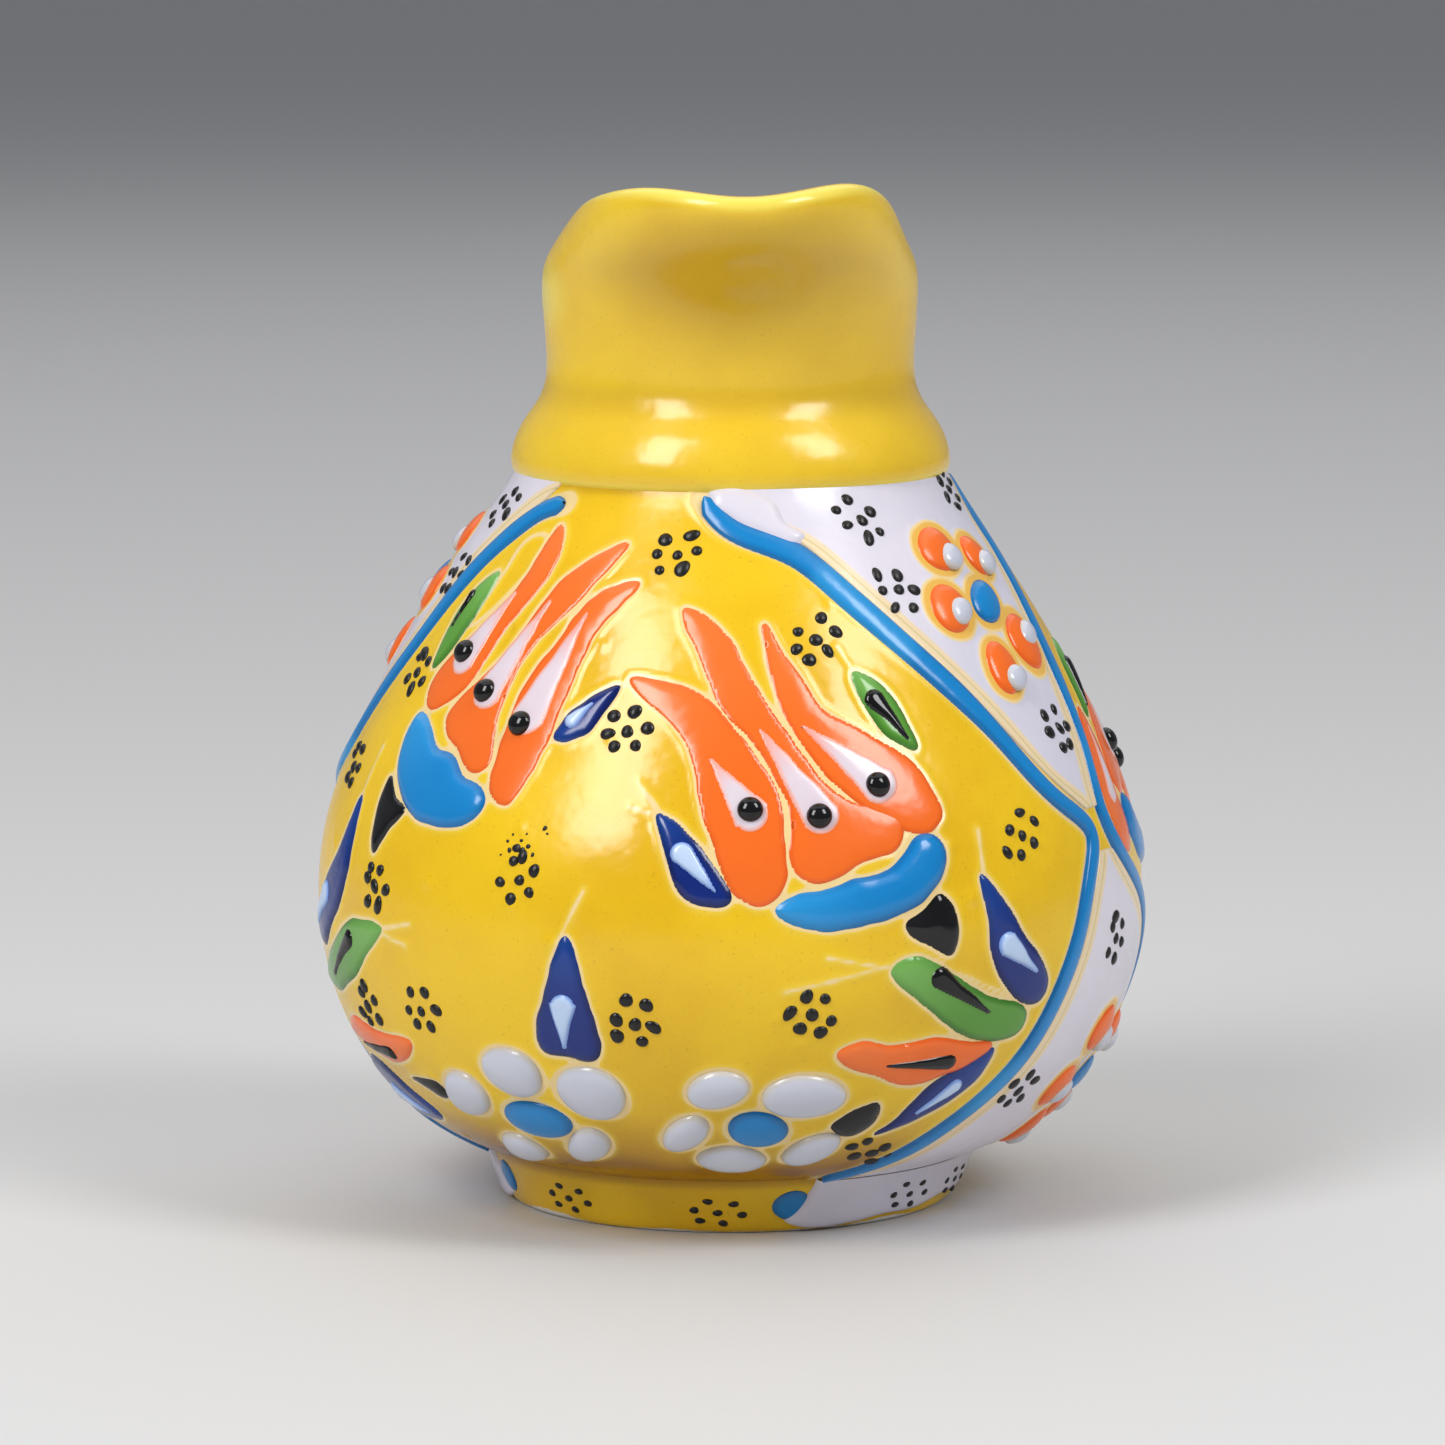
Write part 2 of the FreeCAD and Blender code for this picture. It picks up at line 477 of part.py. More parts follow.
def drop_outline(tail, head, radius):
    """Tail, left side, tip and right side of a drop whose head is round."""
    along = Vector(head[0] - tail[0], head[1] - tail[1], 0)
    length = along.Length
    along.normalize()
    side = Vector(-along.y, along.x, 0)
    back = radius * radius / length
    reach = radius * math.sqrt(1 - (radius / length) ** 2)
    points = [(0.0, 0.0), (length - back, reach), (length + radius, 0.0),
              (length - back, -reach)]
    return [(tail[0] + along.x * distance + side.x * width,
             tail[1] + along.y * distance + side.y * width) for distance, width in points]


def drops(drawn, place, base):
    """Drops of enamel, each given by its tail, head and radius."""
    return [solid for drop in drawn
            for solid in pad(drop_outline(*drop), place, base, STROKE, drop_wire)]


def mound(spot, place, base, height):
    """Half ellipsoid that lies on the belly, or on a height above it."""
    across, rise, half_width, half_height, tilt = spot
    turn, rise = place(across, rise)
    toward = place(across + 1.0, rise)[0] - turn
    tilt = math.copysign(1.0, toward) * tilt
    point = surface_point(BELLY_CURVE, turn, rise, base)
    normal = surface_normal(BELLY_CURVE, turn, rise)
    level = Vector(math.cos(math.radians(turn)), math.sin(math.radians(turn)), 0)
    upward = normal.cross(level)
    angle = math.radians(tilt)
    long_axis = level * math.cos(angle) + upward * math.sin(angle)
    short_axis = normal.cross(long_axis)
    scale = FreeCAD.Matrix(
        long_axis.x * half_width, short_axis.x * half_height, normal.x * height, point.x,
        long_axis.y * half_width, short_axis.y * half_height, normal.y * height, point.y,
        long_axis.z * half_width, short_axis.z * half_height, normal.z * height, point.z,
        0, 0, 0, 1)
    ball = Part.makeSphere(1.0).transformGeometry(scale)
    return ball.cut(core(base)).Solids[0]


def button(radius, height):
    """Low round dome that stands on the XY plane, sunk a little so that no gap is left."""
    dome = clamped_spline([(radius, 0.0), (radius, BUTTON_FULLNESS * height),
                           (BUTTON_FULLNESS * radius, height), (0.0, height)])
    return revolved([line((0.0, -BUTTON_SINK), (radius, -BUTTON_SINK)),
                     line((radius, -BUTTON_SINK), (radius, 0.0)), dome.toShape(),
                     line((0.0, height), (0.0, -BUTTON_SINK))])


def set_down(shape, curve, turn, rise, base):
    """Copy of a shape, moved from the XY plane to a place on a surface."""
    copy = shape.copy()
    normal = surface_normal(curve, turn, rise)
    rotation = FreeCAD.Rotation(Vector(0, 0, 1), normal)
    copy.Placement = FreeCAD.Placement(surface_point(curve, turn, rise, base), rotation)
    return copy


def dot_clusters(clusters, place, base):
    """Clusters of seven small round dots."""
    dot = button(DOT_RADIUS, DOT_HEIGHT)
    dots = []
    for (across, rise), tilt in clusters:
        cosine = math.cos(math.radians(tilt))
        sine = math.sin(math.radians(tilt))
        for right, up in DOT_CLUSTER:
            turn, height = place(across + right * cosine - up * sine,
                                 rise + right * sine + up * cosine)
            dots.append(set_down(dot, BELLY_CURVE, turn, height, base))
    return dots


def eyes(spots, place, base):
    """Round black domes in the heads of the drops."""
    dome = button(EYE_RADIUS, EYE_HEIGHT)
    return [set_down(dome, BELLY_CURVE, *place(across, rise), base) for across, rise in spots]


def patch_solid(lower, upper):
    """Solid between two grids of points: two B-spline faces joined by four ruled sides."""
    faces = []
    edges = []
    for grid in (lower, upper):
        skin = Part.BSplineSurface()
        skin.interpolate(grid)
        faces.append(skin.toShape())
        u_first, u_last, v_first, v_last = skin.bounds()
        edges.append([skin.uIso(u_first).toShape(), skin.uIso(u_last).toShape(),
                      skin.vIso(v_first).toShape(), skin.vIso(v_last).toShape()])
    for low, high in zip(*edges):
        faces.append(Part.makeRuledSurface(low, high))
    return closed_solid(faces)


def border(stations, mirror=None):
    """Raised blue line along a smooth path of (turn, rise) stations on the belly."""
    reach = belly_radius(stations[len(stations) // 2][1])
    path = Part.BSplineCurve()
    path.interpolate(Points=[Vector(math.radians(turn) * reach, rise, 0)
                             for turn, rise in stations])
    profile = [(-1.0, BORDER_EDGE), (-BORDER_SHOULDER_PLACE, BORDER_SHOULDER),
               (0.0, BORDER_CROWN), (BORDER_SHOULDER_PLACE, BORDER_SHOULDER), (1.0, BORDER_EDGE)]
    lower = []
    upper = []
    first = path.FirstParameter
    last = path.LastParameter
    for station in range(BORDER_STATIONS + 1):
        parameter = first + (last - first) * station / BORDER_STATIONS
        point = path.value(parameter)
        radius = belly_radius(point.y)
        along = path.tangent(parameter)[0]
        heading = Vector(along.x * radius / reach, along.y, 0)
        heading.normalize()
        low_row = []
        high_row = []
        for fraction, height in profile:
            step = fraction * BORDER_HALF_WIDTH
            turn = math.degrees(point.x / reach - heading.y * step / radius)
            rise = point.y + heading.x * step
            turn = turn if mirror is None else mirror - turn
            low_row.append(surface_point(BELLY_CURVE, turn, rise))
            high_row.append(surface_point(BELLY_CURVE, turn, rise, height))
        lower.append(low_row)
        upper.append(high_row)
    return patch_solid(lower, upper)


def coat(curve, rows, columns):
    """Thin white coat between the first and last turn of each (first, last, rise) row."""
    lower = []
    upper = []
    for first, last, rise in rows:
        turns = [first + (last - first) * column / columns for column in range(columns + 1)]
        lower.append([surface_point(curve, turn, rise) for turn in turns])
        upper.append([surface_point(curve, turn, rise, GROUND) for turn in turns])
    return patch_solid(lower, upper)


def ground(front, back, rises):
    """White coat of the belly between a front and a back edge."""
    return coat(BELLY_CURVE, list(zip(front, back, rises)), GROUND_COLUMNS)


def foot_glaze(turns):
    """White glaze that runs down from the lower ground over the foot's side."""
    top, bottom = FOOT_GLAZE_RISES
    rises = [top + (bottom - top) * row / FOOT_GLAZE_ROWS for row in range(FOOT_GLAZE_ROWS + 1)]
    return coat(FOOT_CURVE, [(*turns, rise) for rise in rises], FOOT_GLAZE_COLUMNS)


# --- groups of enamel, by node ----------------------------------------------------------------

def tulip(name, petals, drop_list, eye_list, calyx, place):
    """Nodes of one tulip: petals, pale drops on them, black eyes on the drops, blue calyx."""
    return {
        f"{name}_tulip_petals": pads(petals, place, 0.0, PETAL),
        f"{name}_tulip_drops": drops(drop_list, place, PETAL),
        f"{name}_tulip_eyes": eyes(eye_list, place, PETAL + STROKE),
        f"{name}_tulip_calyx": pad(calyx, place, 0.0, CALYX),
    }


def leaves(groups, kind):
    """Leaf solids and the drops that lie on them, from (motif list, place) pairs."""
    blades = []
    marks = []
    for motifs, place in groups:
        blades += pads([outline for outline, _ in motifs], place, 0.0, LEAF)
        marks += drops([mark for _, mark in motifs], place, LEAF)
    return {kind: blades, kind + "_marks": marks}


def panel(name, right, left, centre, dots):
    """Nodes of one yellow panel.

    The first two places put its two tulips, the third the leaves and daisies between and below
    them. The dots are the clusters and the place that they are drawn from.
    """
    nodes = {}
    nodes.update(tulip(f"{name}_right", RIGHT_PETALS, RIGHT_DROPS, RIGHT_EYES, RIGHT_CALYX,
                       right))
    nodes.update(tulip(f"{name}_left", LEFT_PETALS, LEFT_DROPS, LEFT_EYES, LEFT_CALYX, left))
    navy = leaves([(RIGHT_NAVY_LEAVES + LEFT_NAVY_LEAVES + CENTRE_NAVY_LEAVES, centre)], "navy")
    green = leaves([(RIGHT_GREEN_LEAVES[:1] + LEFT_GREEN_LEAVES[:1], centre),
                    (RIGHT_GREEN_LEAVES[1:], right), (LEFT_GREEN_LEAVES[1:], left)], "green")
    orange = leaves([(RIGHT_ORANGE_LEAVES + LEFT_ORANGE_LEAVES, centre)], "orange")
    nodes[f"{name}_navy_leaves"] = navy["navy"]
    nodes[f"{name}_leaf_highlights"] = navy["navy_marks"]
    nodes[f"{name}_green_leaves"] = green["green"]
    nodes[f"{name}_orange_leaves"] = orange["orange"]
    nodes[f"{name}_leaf_seeds"] = green["green_marks"] + orange["orange_marks"]
    nodes[f"{name}_black_buds"] = (pads([RIGHT_BUD, RIGHT_LOW_BUD, LEFT_LOW_BUD], centre,
                                        0.0, LEAF) + pad(LEFT_BUD, left, 0.0, LEAF))
    nodes[f"{name}_daisy_petals"] = [mound(spot, centre, 0.0, DAISY_HEIGHT)
                                     for spot in DAISY_PETALS]
    nodes[f"{name}_daisy_centres"] = [mound(spot, centre, 0.0, DAISY_CENTRE_HEIGHT)
                                      for spot in DAISY_CENTRES]
    nodes[f"{name}_dots"] = dot_clusters(*dots, 0.0)
    return nodes


def flower(name, place):
    """Nodes of one flower of a white ground: petals, a bead on each, and the centre."""
    bead_width, bead_height, bead_crown = BEAD
    beads = [(across, rise, bead_width, bead_height, BEAD_TILT)
             for across, rise in FLOWER_BEADS]
    return {
        f"{name}_flower_petals": [mound(spot, place, GROUND, FLOWER_PETAL_HEIGHT)
                                  for spot in FLOWER_PETALS],
        f"{name}_flower_beads": [mound(spot, place, GROUND + FLOWER_BEAD_BASE, bead_crown)
                                 for spot in beads],
        f"{name}_flower_centre": [mound(FLOWER_CENTRE, place, GROUND, FLOWER_PETAL_HEIGHT)],
    }


def field(name, place, grounds, glaze, clusters):
    """Nodes of one white field: upper and lower ground, a flower on each, and dots."""
    upper, lower = grounds
    nodes = {
        f"{name}_upper_ground": [ground(*upper, UPPER_RISES)],
        f"{name}_lower_ground": [ground(*lower, LOWER_RISES), foot_glaze(glaze)],
        f"{name}_ground_dots": dot_clusters(clusters, place, GROUND),
    }
    nodes.update(flower(f"{name}_upper", place))
    nodes.update(flower(f"{name}_lower", shifted(place, *LOW_FLOWER_SHIFT)))
    return nodes


def fields():
    """Nodes of the right field, and of the left one, which is mirrored from it."""
    right = place_from(FIELD_AXIS)
    left = mirrored(right, LEFT_FIELD_MIRROR)
    upper_back = [LEFT_FIELD_MIRROR - turn for turn in UPPER_BACK]
    lower_back = [LEFT_FIELD_MIRROR - turn for turn in LOWER_BACK]
    nodes = field("right", right, [(UPPER_RIGHT_FRONT, UPPER_BACK),
                                   (LOWER_RIGHT_FRONT, LOWER_BACK)],
                  RIGHT_FOOT_GLAZE, FIELD_CLUSTERS)
    nodes.update(field("left", left, [(UPPER_LEFT_FRONT, upper_back),
                                      (LOWER_LEFT_FRONT, lower_back)],
                       LEFT_FOOT_GLAZE, FIELD_CLUSTERS[:-1]))
    return nodes


def main():
    """Build every node and write one STEP file for each."""
    drawn = place_from(PANEL_AXIS)
    nodes = {
        "foot_ring": [foot_ring()],
        "belly_shell": [belly_shell()],
        "neck_spout": [neck_spout()],
        "front_right_border": [border(FRONT_RIGHT_BORDER)],
        "front_left_border": [border(FRONT_LEFT_BORDER)],
        "back_left_border": [border(BACK_LEFT_BORDER)],
        "back_right_border": [border(BACK_LEFT_BORDER, LEFT_FIELD_MIRROR)],
    }
    nodes.update(panel("front", drawn, drawn, drawn, (FRONT_CLUSTERS, drawn)))
    nodes.update(panel("back", mirrored(drawn, BACK_RIGHT_TULIP_MIRROR),
                       mirrored(drawn, BACK_LEFT_TULIP_MIRROR),
                       mirrored(drawn, BACK_CENTRE_MIRROR),
                       (BACK_CLUSTERS, place_from(BACK_AXIS))))
    beside = place_from(FIELD_AXIS)
    nodes["back_right_tulip_petals"] += pad(CORNER_PETAL, beside, 0.0, PETAL)
    nodes["back_right_tulip_drops"] += drops([CORNER_DROP], beside, PETAL)
    nodes.update(fields())
    os.makedirs("parts", exist_ok=True)
    for name, solids in nodes.items():
        shape = solids[0] if len(solids) == 1 else Part.makeCompound(solids)
        shape.exportStep(f"parts/{name}.step")
        print(name, len(solids), round(shape.Volume, 1), shape.isValid())
    print(len(nodes), "nodes")


main()
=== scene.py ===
"""Glazed pouring vase with raised enamel decoration, dressed on its CAD frame.

The vessel is three thrown sections: foot ring, belly and neck. The decoration is thick enamel
trailed on the belly. A place on the belly is (turn, rise): turn is the angle in degrees round +Z
from the pouring lip towards +X, and rise is the length in millimetres along the belly's outer
profile from the groove above the foot. A motif is drawn flat as (across, rise) from an axis.
Sizes in this file are millimetres, and become metres when a mesh is made.
"""
import logging
import math
from dataclasses import dataclass, field
from enum import Enum
from typing import Callable

import bpy
import numpy as np
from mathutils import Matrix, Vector


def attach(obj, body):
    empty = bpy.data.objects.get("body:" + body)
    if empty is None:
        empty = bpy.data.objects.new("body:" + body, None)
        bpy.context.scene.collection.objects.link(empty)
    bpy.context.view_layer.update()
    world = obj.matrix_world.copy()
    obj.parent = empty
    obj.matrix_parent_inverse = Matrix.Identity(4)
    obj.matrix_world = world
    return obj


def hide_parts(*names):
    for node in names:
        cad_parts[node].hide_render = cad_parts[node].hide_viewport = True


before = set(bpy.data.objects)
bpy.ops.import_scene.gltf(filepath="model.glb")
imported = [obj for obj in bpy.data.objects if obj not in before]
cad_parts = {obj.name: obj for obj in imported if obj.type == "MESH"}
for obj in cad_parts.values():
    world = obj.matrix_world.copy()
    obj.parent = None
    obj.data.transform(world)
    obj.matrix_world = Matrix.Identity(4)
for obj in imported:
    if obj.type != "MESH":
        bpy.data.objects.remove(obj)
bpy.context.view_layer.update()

LOG = logging.getLogger("vase")
Array = np.ndarray
Colour = tuple[float, float, float]
Point = tuple[float, float]
Point3 = tuple[float, float, float]
Number = Callable[[Array, Array, Array], Array]
METRES = 0.001
TINY = 1e-9

# --- driving dimensions, in millimetres, as the part has them ---------------------------------

FOOT_INNER_RADIUS = 22.5
FOOT_BEARING_RADIUS = 25.2
FOOT_TOP_RADIUS = 28.8
FOOT_HEIGHT = 6.6
FOOT_INNER_CHAMFER = 0.5
COLLAR_HEIGHT = 87.0
COLLAR_RADIUS = 24.4
THROAT_RADIUS = 20.4
CAVITY_FLOOR = 11.5

# Control points (radius, height) of the outer profiles, each a clamped cubic B-spline.
FOOT_PROFILE = [(FOOT_BEARING_RADIUS, 0.0), (26.0, 0.0), (26.6, 0.7), (27.2, 2.6), (28.0, 4.8),
                (FOOT_TOP_RADIUS, FOOT_HEIGHT)]
BELLY_PROFILE = [(FOOT_TOP_RADIUS, FOOT_HEIGHT), (35.0, 8.8), (39.5, 13.0), (45.8, 21.0),
                 (49.1, 33.0), (47.9, 46.0), (42.5, 58.0), (36.7, 68.0), (31.3, 77.0),
                 (25.8, 83.8), (COLLAR_RADIUS, COLLAR_HEIGHT)]
CAVITY_PROFILE = [(THROAT_RADIUS, COLLAR_HEIGHT), (21.5, 83.0), (27.0, 76.0), (32.6, 67.0),
                  (38.5, 57.5), (43.8, 46.0), (45.0, 34.0), (41.8, 22.5), (34.0, 14.0),
                  (20.0, CAVITY_FLOOR), (0.0, CAVITY_FLOOR)]

# Rows of control points of the neck, from the collar up the outside, over the rim and down the
# inside. Each row is (radius, height) at the side of the mouth, then at the pouring lip.
NECK_ROWS = [((24.4, 87.0), (24.4, 87.0)), ((25.4, 87.8), (25.4, 87.8)),
             ((25.3, 90.4), (25.3, 90.4)), ((22.9, 93.2), (22.9, 93.2)),
             ((21.4, 96.0), (21.4, 96.0)), ((21.5, 100.5), (22.0, 100.0)),
             ((21.8, 104.6), (24.0, 105.5)), ((21.9, 107.6), (27.8, 109.8)),
             ((21.4, 109.8), (32.6, 113.6)), ((19.2, 111.4), (35.6, 119.6)),
             ((17.4, 109.8), (31.0, 120.4)), ((17.4, 106.4), (23.0, 115.0)),
             ((17.4, 100.5), (18.2, 104.0)), ((17.4, 96.0), (17.4, 96.0)),
             ((20.2, 92.6), (20.2, 92.6)), ((20.6, 89.0), (20.6, 89.0)),
             ((20.4, 87.0), (20.4, 87.0))]
LIP_FLARE_POWER = 7.0
RIM_RISE = 1.21
RIM_RISE_POWER = 2.4
LIP_DIP = 0.24
LIP_DIP_POWER = 45.0
CORNER_LEAN = 0.07
CORNER_LEAN_POWER = 3.0
SHOULDER = 0.16
SHOULDER_TURN = -65.0
SHOULDER_WIDTH = 25.0

# Heights of the enamel above what it lies on, and the white ground's thickness.
GROUND = 0.3
BORDER_CROWN = 0.6
BORDER_HALF_WIDTH = 1.3
PETAL = 0.35
LEAF = 0.45
STROKE = 0.4
CALYX = 0.7
DOT_RADIUS = 0.7
DOT_HEIGHT = 0.35
EYE_RADIUS = 1.45
EYE_HEIGHT = 0.95

# Turns of the axes on which the flat outlines are drawn, and mirror turns for their copies.
PANEL_AXIS = -30.0
FIELD_AXIS = 60.0
LEFT_FIELD_MIRROR = -48.0
BACK_AXIS = 156.0
BACK_RIGHT_TULIP_MIRROR = 100.0
BACK_LEFT_TULIP_MIRROR = 166.0
BACK_CENTRE_MIRROR = 136.0

# --- outlines of the motifs, drawn flat as (across, rise) from PANEL_AXIS ---------------------

RIGHT_PETALS = [
    [(6.0, 69.4), (10.2, 69.2), (14.4, 67.7), (18.8, 63.9), (23.0, 59.3), (25.8, 55.2),
     (27.2, 49.6), (27.6, 45.6), (25.6, 43.5), (23.0, 44.2), (19.8, 49.2), (17.4, 54.2),
     (15.4, 59.6), (12.4, 64.0), (8.4, 67.0)],
    [(10.3, 78.4), (14.0, 76.5), (18.0, 71.9), (22.0, 66.6), (26.0, 62.0), (30.2, 57.4),
     (35.0, 54.4), (40.6, 52.3), (40.6, 49.6), (37.0, 48.2), (33.8, 46.5), (30.0, 46.2),
     (28.3, 48.2), (27.8, 52.6), (25.4, 57.2), (21.4, 62.3), (17.0, 66.4), (14.2, 71.0)],
    [(19.8, 76.3), (22.4, 72.8), (25.8, 69.1), (27.6, 66.6), (31.8, 64.0), (36.6, 61.5),
     (40.8, 59.0), (44.0, 55.6), (45.7, 52.4), (44.0, 50.9), (40.4, 51.7), (35.6, 54.3),
     (30.4, 58.3), (26.5, 62.7), (23.0, 67.7)],
]
CORNER_PETAL = [(4.3, 50.4), (4.6, 55.0), (6.0, 59.0), (8.4, 62.0), (9.6, 58.6), (9.5, 54.0),
                (10.0, 50.0), (11.0, 46.8), (9.4, 44.4), (6.2, 46.4)]
CORNER_DROP = ((8.2, 59.4), (7.2, 51.6), 1.4)
RIGHT_DROPS = [((17.3, 59.9), (22.7, 53.8), 2.1), ((22.0, 63.5), (30.7, 53.4), 2.2),
               ((26.8, 63.8), (37.0, 56.7), 2.3)]
RIGHT_EYES = [(22.7, 54.2), (30.6, 53.3), (36.9, 56.6)]
RIGHT_CALYX = [(27.1, 42.9), (28.6, 44.2), (32.0, 44.8), (35.6, 45.9), (39.6, 46.8), (41.4, 48.4),
               (42.8, 50.3), (45.4, 50.2), (46.8, 48.0), (46.2, 45.4), (43.6, 42.9), (39.8, 41.5),
               (34.6, 40.6), (30.0, 41.0)]
RIGHT_BUD = [(42.3, 40.5), (44.4, 42.0), (46.5, 43.7), (48.1, 42.2), (48.8, 38.6), (48.0, 36.9),
             (45.6, 38.1), (43.0, 39.4)]

LEFT_PETALS = [
    [(-8.6, 88.2), (-7.6, 84.6), (-9.2, 79.7), (-12.5, 74.6), (-15.4, 68.6), (-19.4, 64.6),
     (-22.8, 63.9), (-23.4, 66.4), (-20.4, 70.8), (-15.4, 75.9), (-12.5, 79.6), (-11.0, 82.9)],
    [(1.1, 86.4), (-2.6, 84.2), (-6.4, 80.4), (-8.8, 76.0), (-12.0, 70.6), (-16.4, 65.8),
     (-18.3, 62.8), (-17.0, 60.8), (-14.4, 59.0), (-12.2, 57.1), (-10.3, 57.6), (-10.0, 61.6),
     (-9.3, 68.6), (-7.4, 73.2), (-4.4, 76.9), (-1.4, 81.2)],
    [(3.9, 81.5), (0.6, 80.5), (-2.0, 78.0), (-4.4, 73.2), (-6.8, 69.0), (-8.2, 63.4),
     (-8.9, 58.0), (-8.2, 54.4), (-6.2, 53.8), (-4.6, 56.0), (-3.0, 59.8), (-1.9, 65.0),
     (-0.7, 71.0), (1.2, 76.6)],
]
LEFT_DROPS = [((-12.5, 79.0), (-18.0, 70.3), 2.1), ((-6.7, 78.4), (-12.4, 66.6), 2.1),
              ((-1.3, 77.2), (-5.6, 64.3), 2.3)]
LEFT_EYES = [(-18.2, 71.0), (-12.8, 66.7), (-6.5, 63.3)]
LEFT_CALYX = [(-24.0, 62.8), (-21.6, 62.0), (-18.2, 59.1), (-15.4, 58.4), (-13.4, 56.4),
              (-10.4, 55.4), (-9.3, 53.6), (-10.9, 51.5), (-15.0, 50.4), (-20.0, 51.0),
              (-24.0, 53.8), (-25.8, 58.4)]
LEFT_BUD = [(-26.4, 54.8), (-25.0, 53.0), (-22.3, 51.4), (-24.4, 49.2), (-27.4, 46.0),
            (-28.2, 49.4)]

# Leaves on the right of the panel: outline, then the drop (tail, head, radius) that lies on it.
RIGHT_NAVY_LEAVES = [
    ([(12.5, 53.6), (15.2, 52.2), (18.6, 48.9), (21.0, 45.8), (21.8, 44.2), (17.6, 43.8),
      (15.2, 46.4), (13.4, 50.8)], ((20.0, 45.0), (15.9, 49.2), 1.3)),
    ([(52.0, 45.4), (54.2, 43.6), (57.6, 39.4), (60.4, 36.0), (62.4, 31.6), (61.0, 29.9),
      (58.4, 30.2), (55.6, 32.6), (53.6, 37.0), (53.0, 41.6)], ((60.2, 33.8), (55.9, 37.3), 1.5)),
    ([(53.3, 24.6), (49.4, 22.9), (44.6, 21.0), (41.0, 18.2), (37.4, 15.0), (35.2, 13.5),
      (42.0, 15.8), (47.0, 18.4), (51.2, 21.5)], ((41.0, 16.8), (46.8, 20.3), 1.0)),
]
RIGHT_GREEN_LEAVES = [
    ([(40.6, 35.6), (42.6, 36.8), (45.6, 36.1), (50.0, 33.2), (55.0, 30.7), (58.7, 28.4),
      (58.0, 26.9), (54.6, 25.8), (50.4, 26.5), (46.2, 29.5), (42.6, 32.9)],
     ((52.7, 29.7), (46.3, 34.3), 1.2)),
    ([(31.4, 70.2), (34.2, 69.0), (38.4, 65.0), (41.0, 60.6), (37.4, 62.2), (33.4, 66.4)],
     ((39.6, 61.8), (34.6, 66.7), 1.2)),
]
RIGHT_ORANGE_LEAVES = [
    ([(33.3, 25.8), (35.6, 27.1), (39.4, 26.5), (45.2, 27.0), (49.6, 26.0), (53.0, 25.1),
      (50.4, 23.4), (45.8, 22.0), (41.0, 21.0), (37.2, 22.8), (34.2, 24.2)],
     ((38.8, 24.1), (46.6, 23.9), 1.0)),
]
RIGHT_LOW_BUD = [(30.3, 15.2), (32.6, 17.0), (36.6, 18.4), (35.8, 16.2), (33.8, 14.2),
                 (32.0, 13.3)]

LEFT_NAVY_LEAVES = [
    ([(-33.0, 51.8), (-33.2, 47.6), (-34.0, 43.0), (-36.0, 39.0), (-40.0, 35.4), (-44.6, 33.0),
      (-46.6, 34.6), (-44.6, 38.6), (-40.4, 42.4), (-36.2, 47.0)],
     ((-45.0, 35.4), (-40.4, 39.6), 1.4)),
    ([(-22.6, 12.4), (-26.0, 15.2), (-30.4, 18.2), (-35.0, 19.4), (-38.0, 17.6), (-35.6, 13.4),
      (-30.6, 10.4), (-25.6, 10.2)], ((-25.0, 12.2), (-31.6, 14.4), 1.6)),
]
LEFT_GREEN_LEAVES = [
    ([(-24.8, 37.5), (-28.6, 37.9), (-32.6, 37.4), (-37.4, 34.6), (-42.6, 31.4), (-45.2, 28.8),
      (-41.4, 27.8), (-36.0, 29.2), (-31.2, 31.6), (-27.6, 34.9)],
     ((-38.6, 30.2), (-32.2, 35.4), 1.1)),
    ([(-16.8, 81.3), (-20.0, 79.4), (-22.4, 76.6), (-24.0, 72.8), (-24.3, 68.4), (-21.4, 71.4),
      (-19.4, 74.6), (-17.6, 78.2)], ((-22.5, 73.8), (-20.4, 78.0), 0.6)),
]
LEFT_ORANGE_LEAVES = [
    ([(-21.6, 24.0), (-26.6, 24.2), (-32.0, 24.6), (-37.6, 24.6), (-39.6, 22.8), (-36.4, 21.6),
      (-30.4, 20.6), (-24.6, 20.9)], ((-34.2, 21.8), (-26.2, 21.9), 0.9)),
]
LEFT_LOW_BUD = [(-24.2, 18.2), (-21.0, 18.7), (-18.6, 18.3), (-17.8, 17.1), (-18.6, 16.1),
                (-21.4, 17.2)]

CENTRE_NAVY_LEAVES = [
    ([(3.1, 39.3), (4.2, 37.2), (5.4, 32.6), (6.3, 28.6), (6.1, 25.6), (4.6, 24.8), (2.4, 25.3),
      (-0.6, 25.7), (-1.1, 27.4), (0.3, 32.4), (1.8, 37.2)], ((2.3, 26.6), (2.6, 31.4), 1.5)),
    ([(-1.6, 62.0), (1.4, 62.3), (3.6, 65.2), (4.8, 68.6), (1.8, 67.0), (-0.6, 64.6)],
     ((2.2, 66.2), (0.2, 64.0), 0.9)),
]

# Daisy petals and centres: (across, rise, half width, half height, tilt in degrees).
DAISY_CENTRES = [(-4.5, 14.9, 4.6, 3.0, 0.0), (21.7, 15.0, 3.6, 2.9, -20.0)]
DAISY_PETALS = [
    (-5.7, 22.2, 4.2, 3.3, 0.0), (4.0, 20.2, 4.3, 3.8, -10.0), (-14.0, 17.7, 3.6, 3.2, 45.0),
    (-8.8, 8.9, 3.0, 2.7, 0.0), (0.8, 11.0, 3.7, 2.4, 50.0), (18.8, 21.3, 3.5, 2.6, 15.0),
    (28.3, 20.1, 4.8, 3.1, 0.0), (13.3, 14.2, 3.6, 2.2, 55.0), (16.9, 9.2, 3.9, 2.8, 0.0),
    (26.6, 11.1, 3.7, 2.3, 40.0),
]
DAISY_HEIGHT = 1.3
DAISY_CENTRE_HEIGHT = 1.0

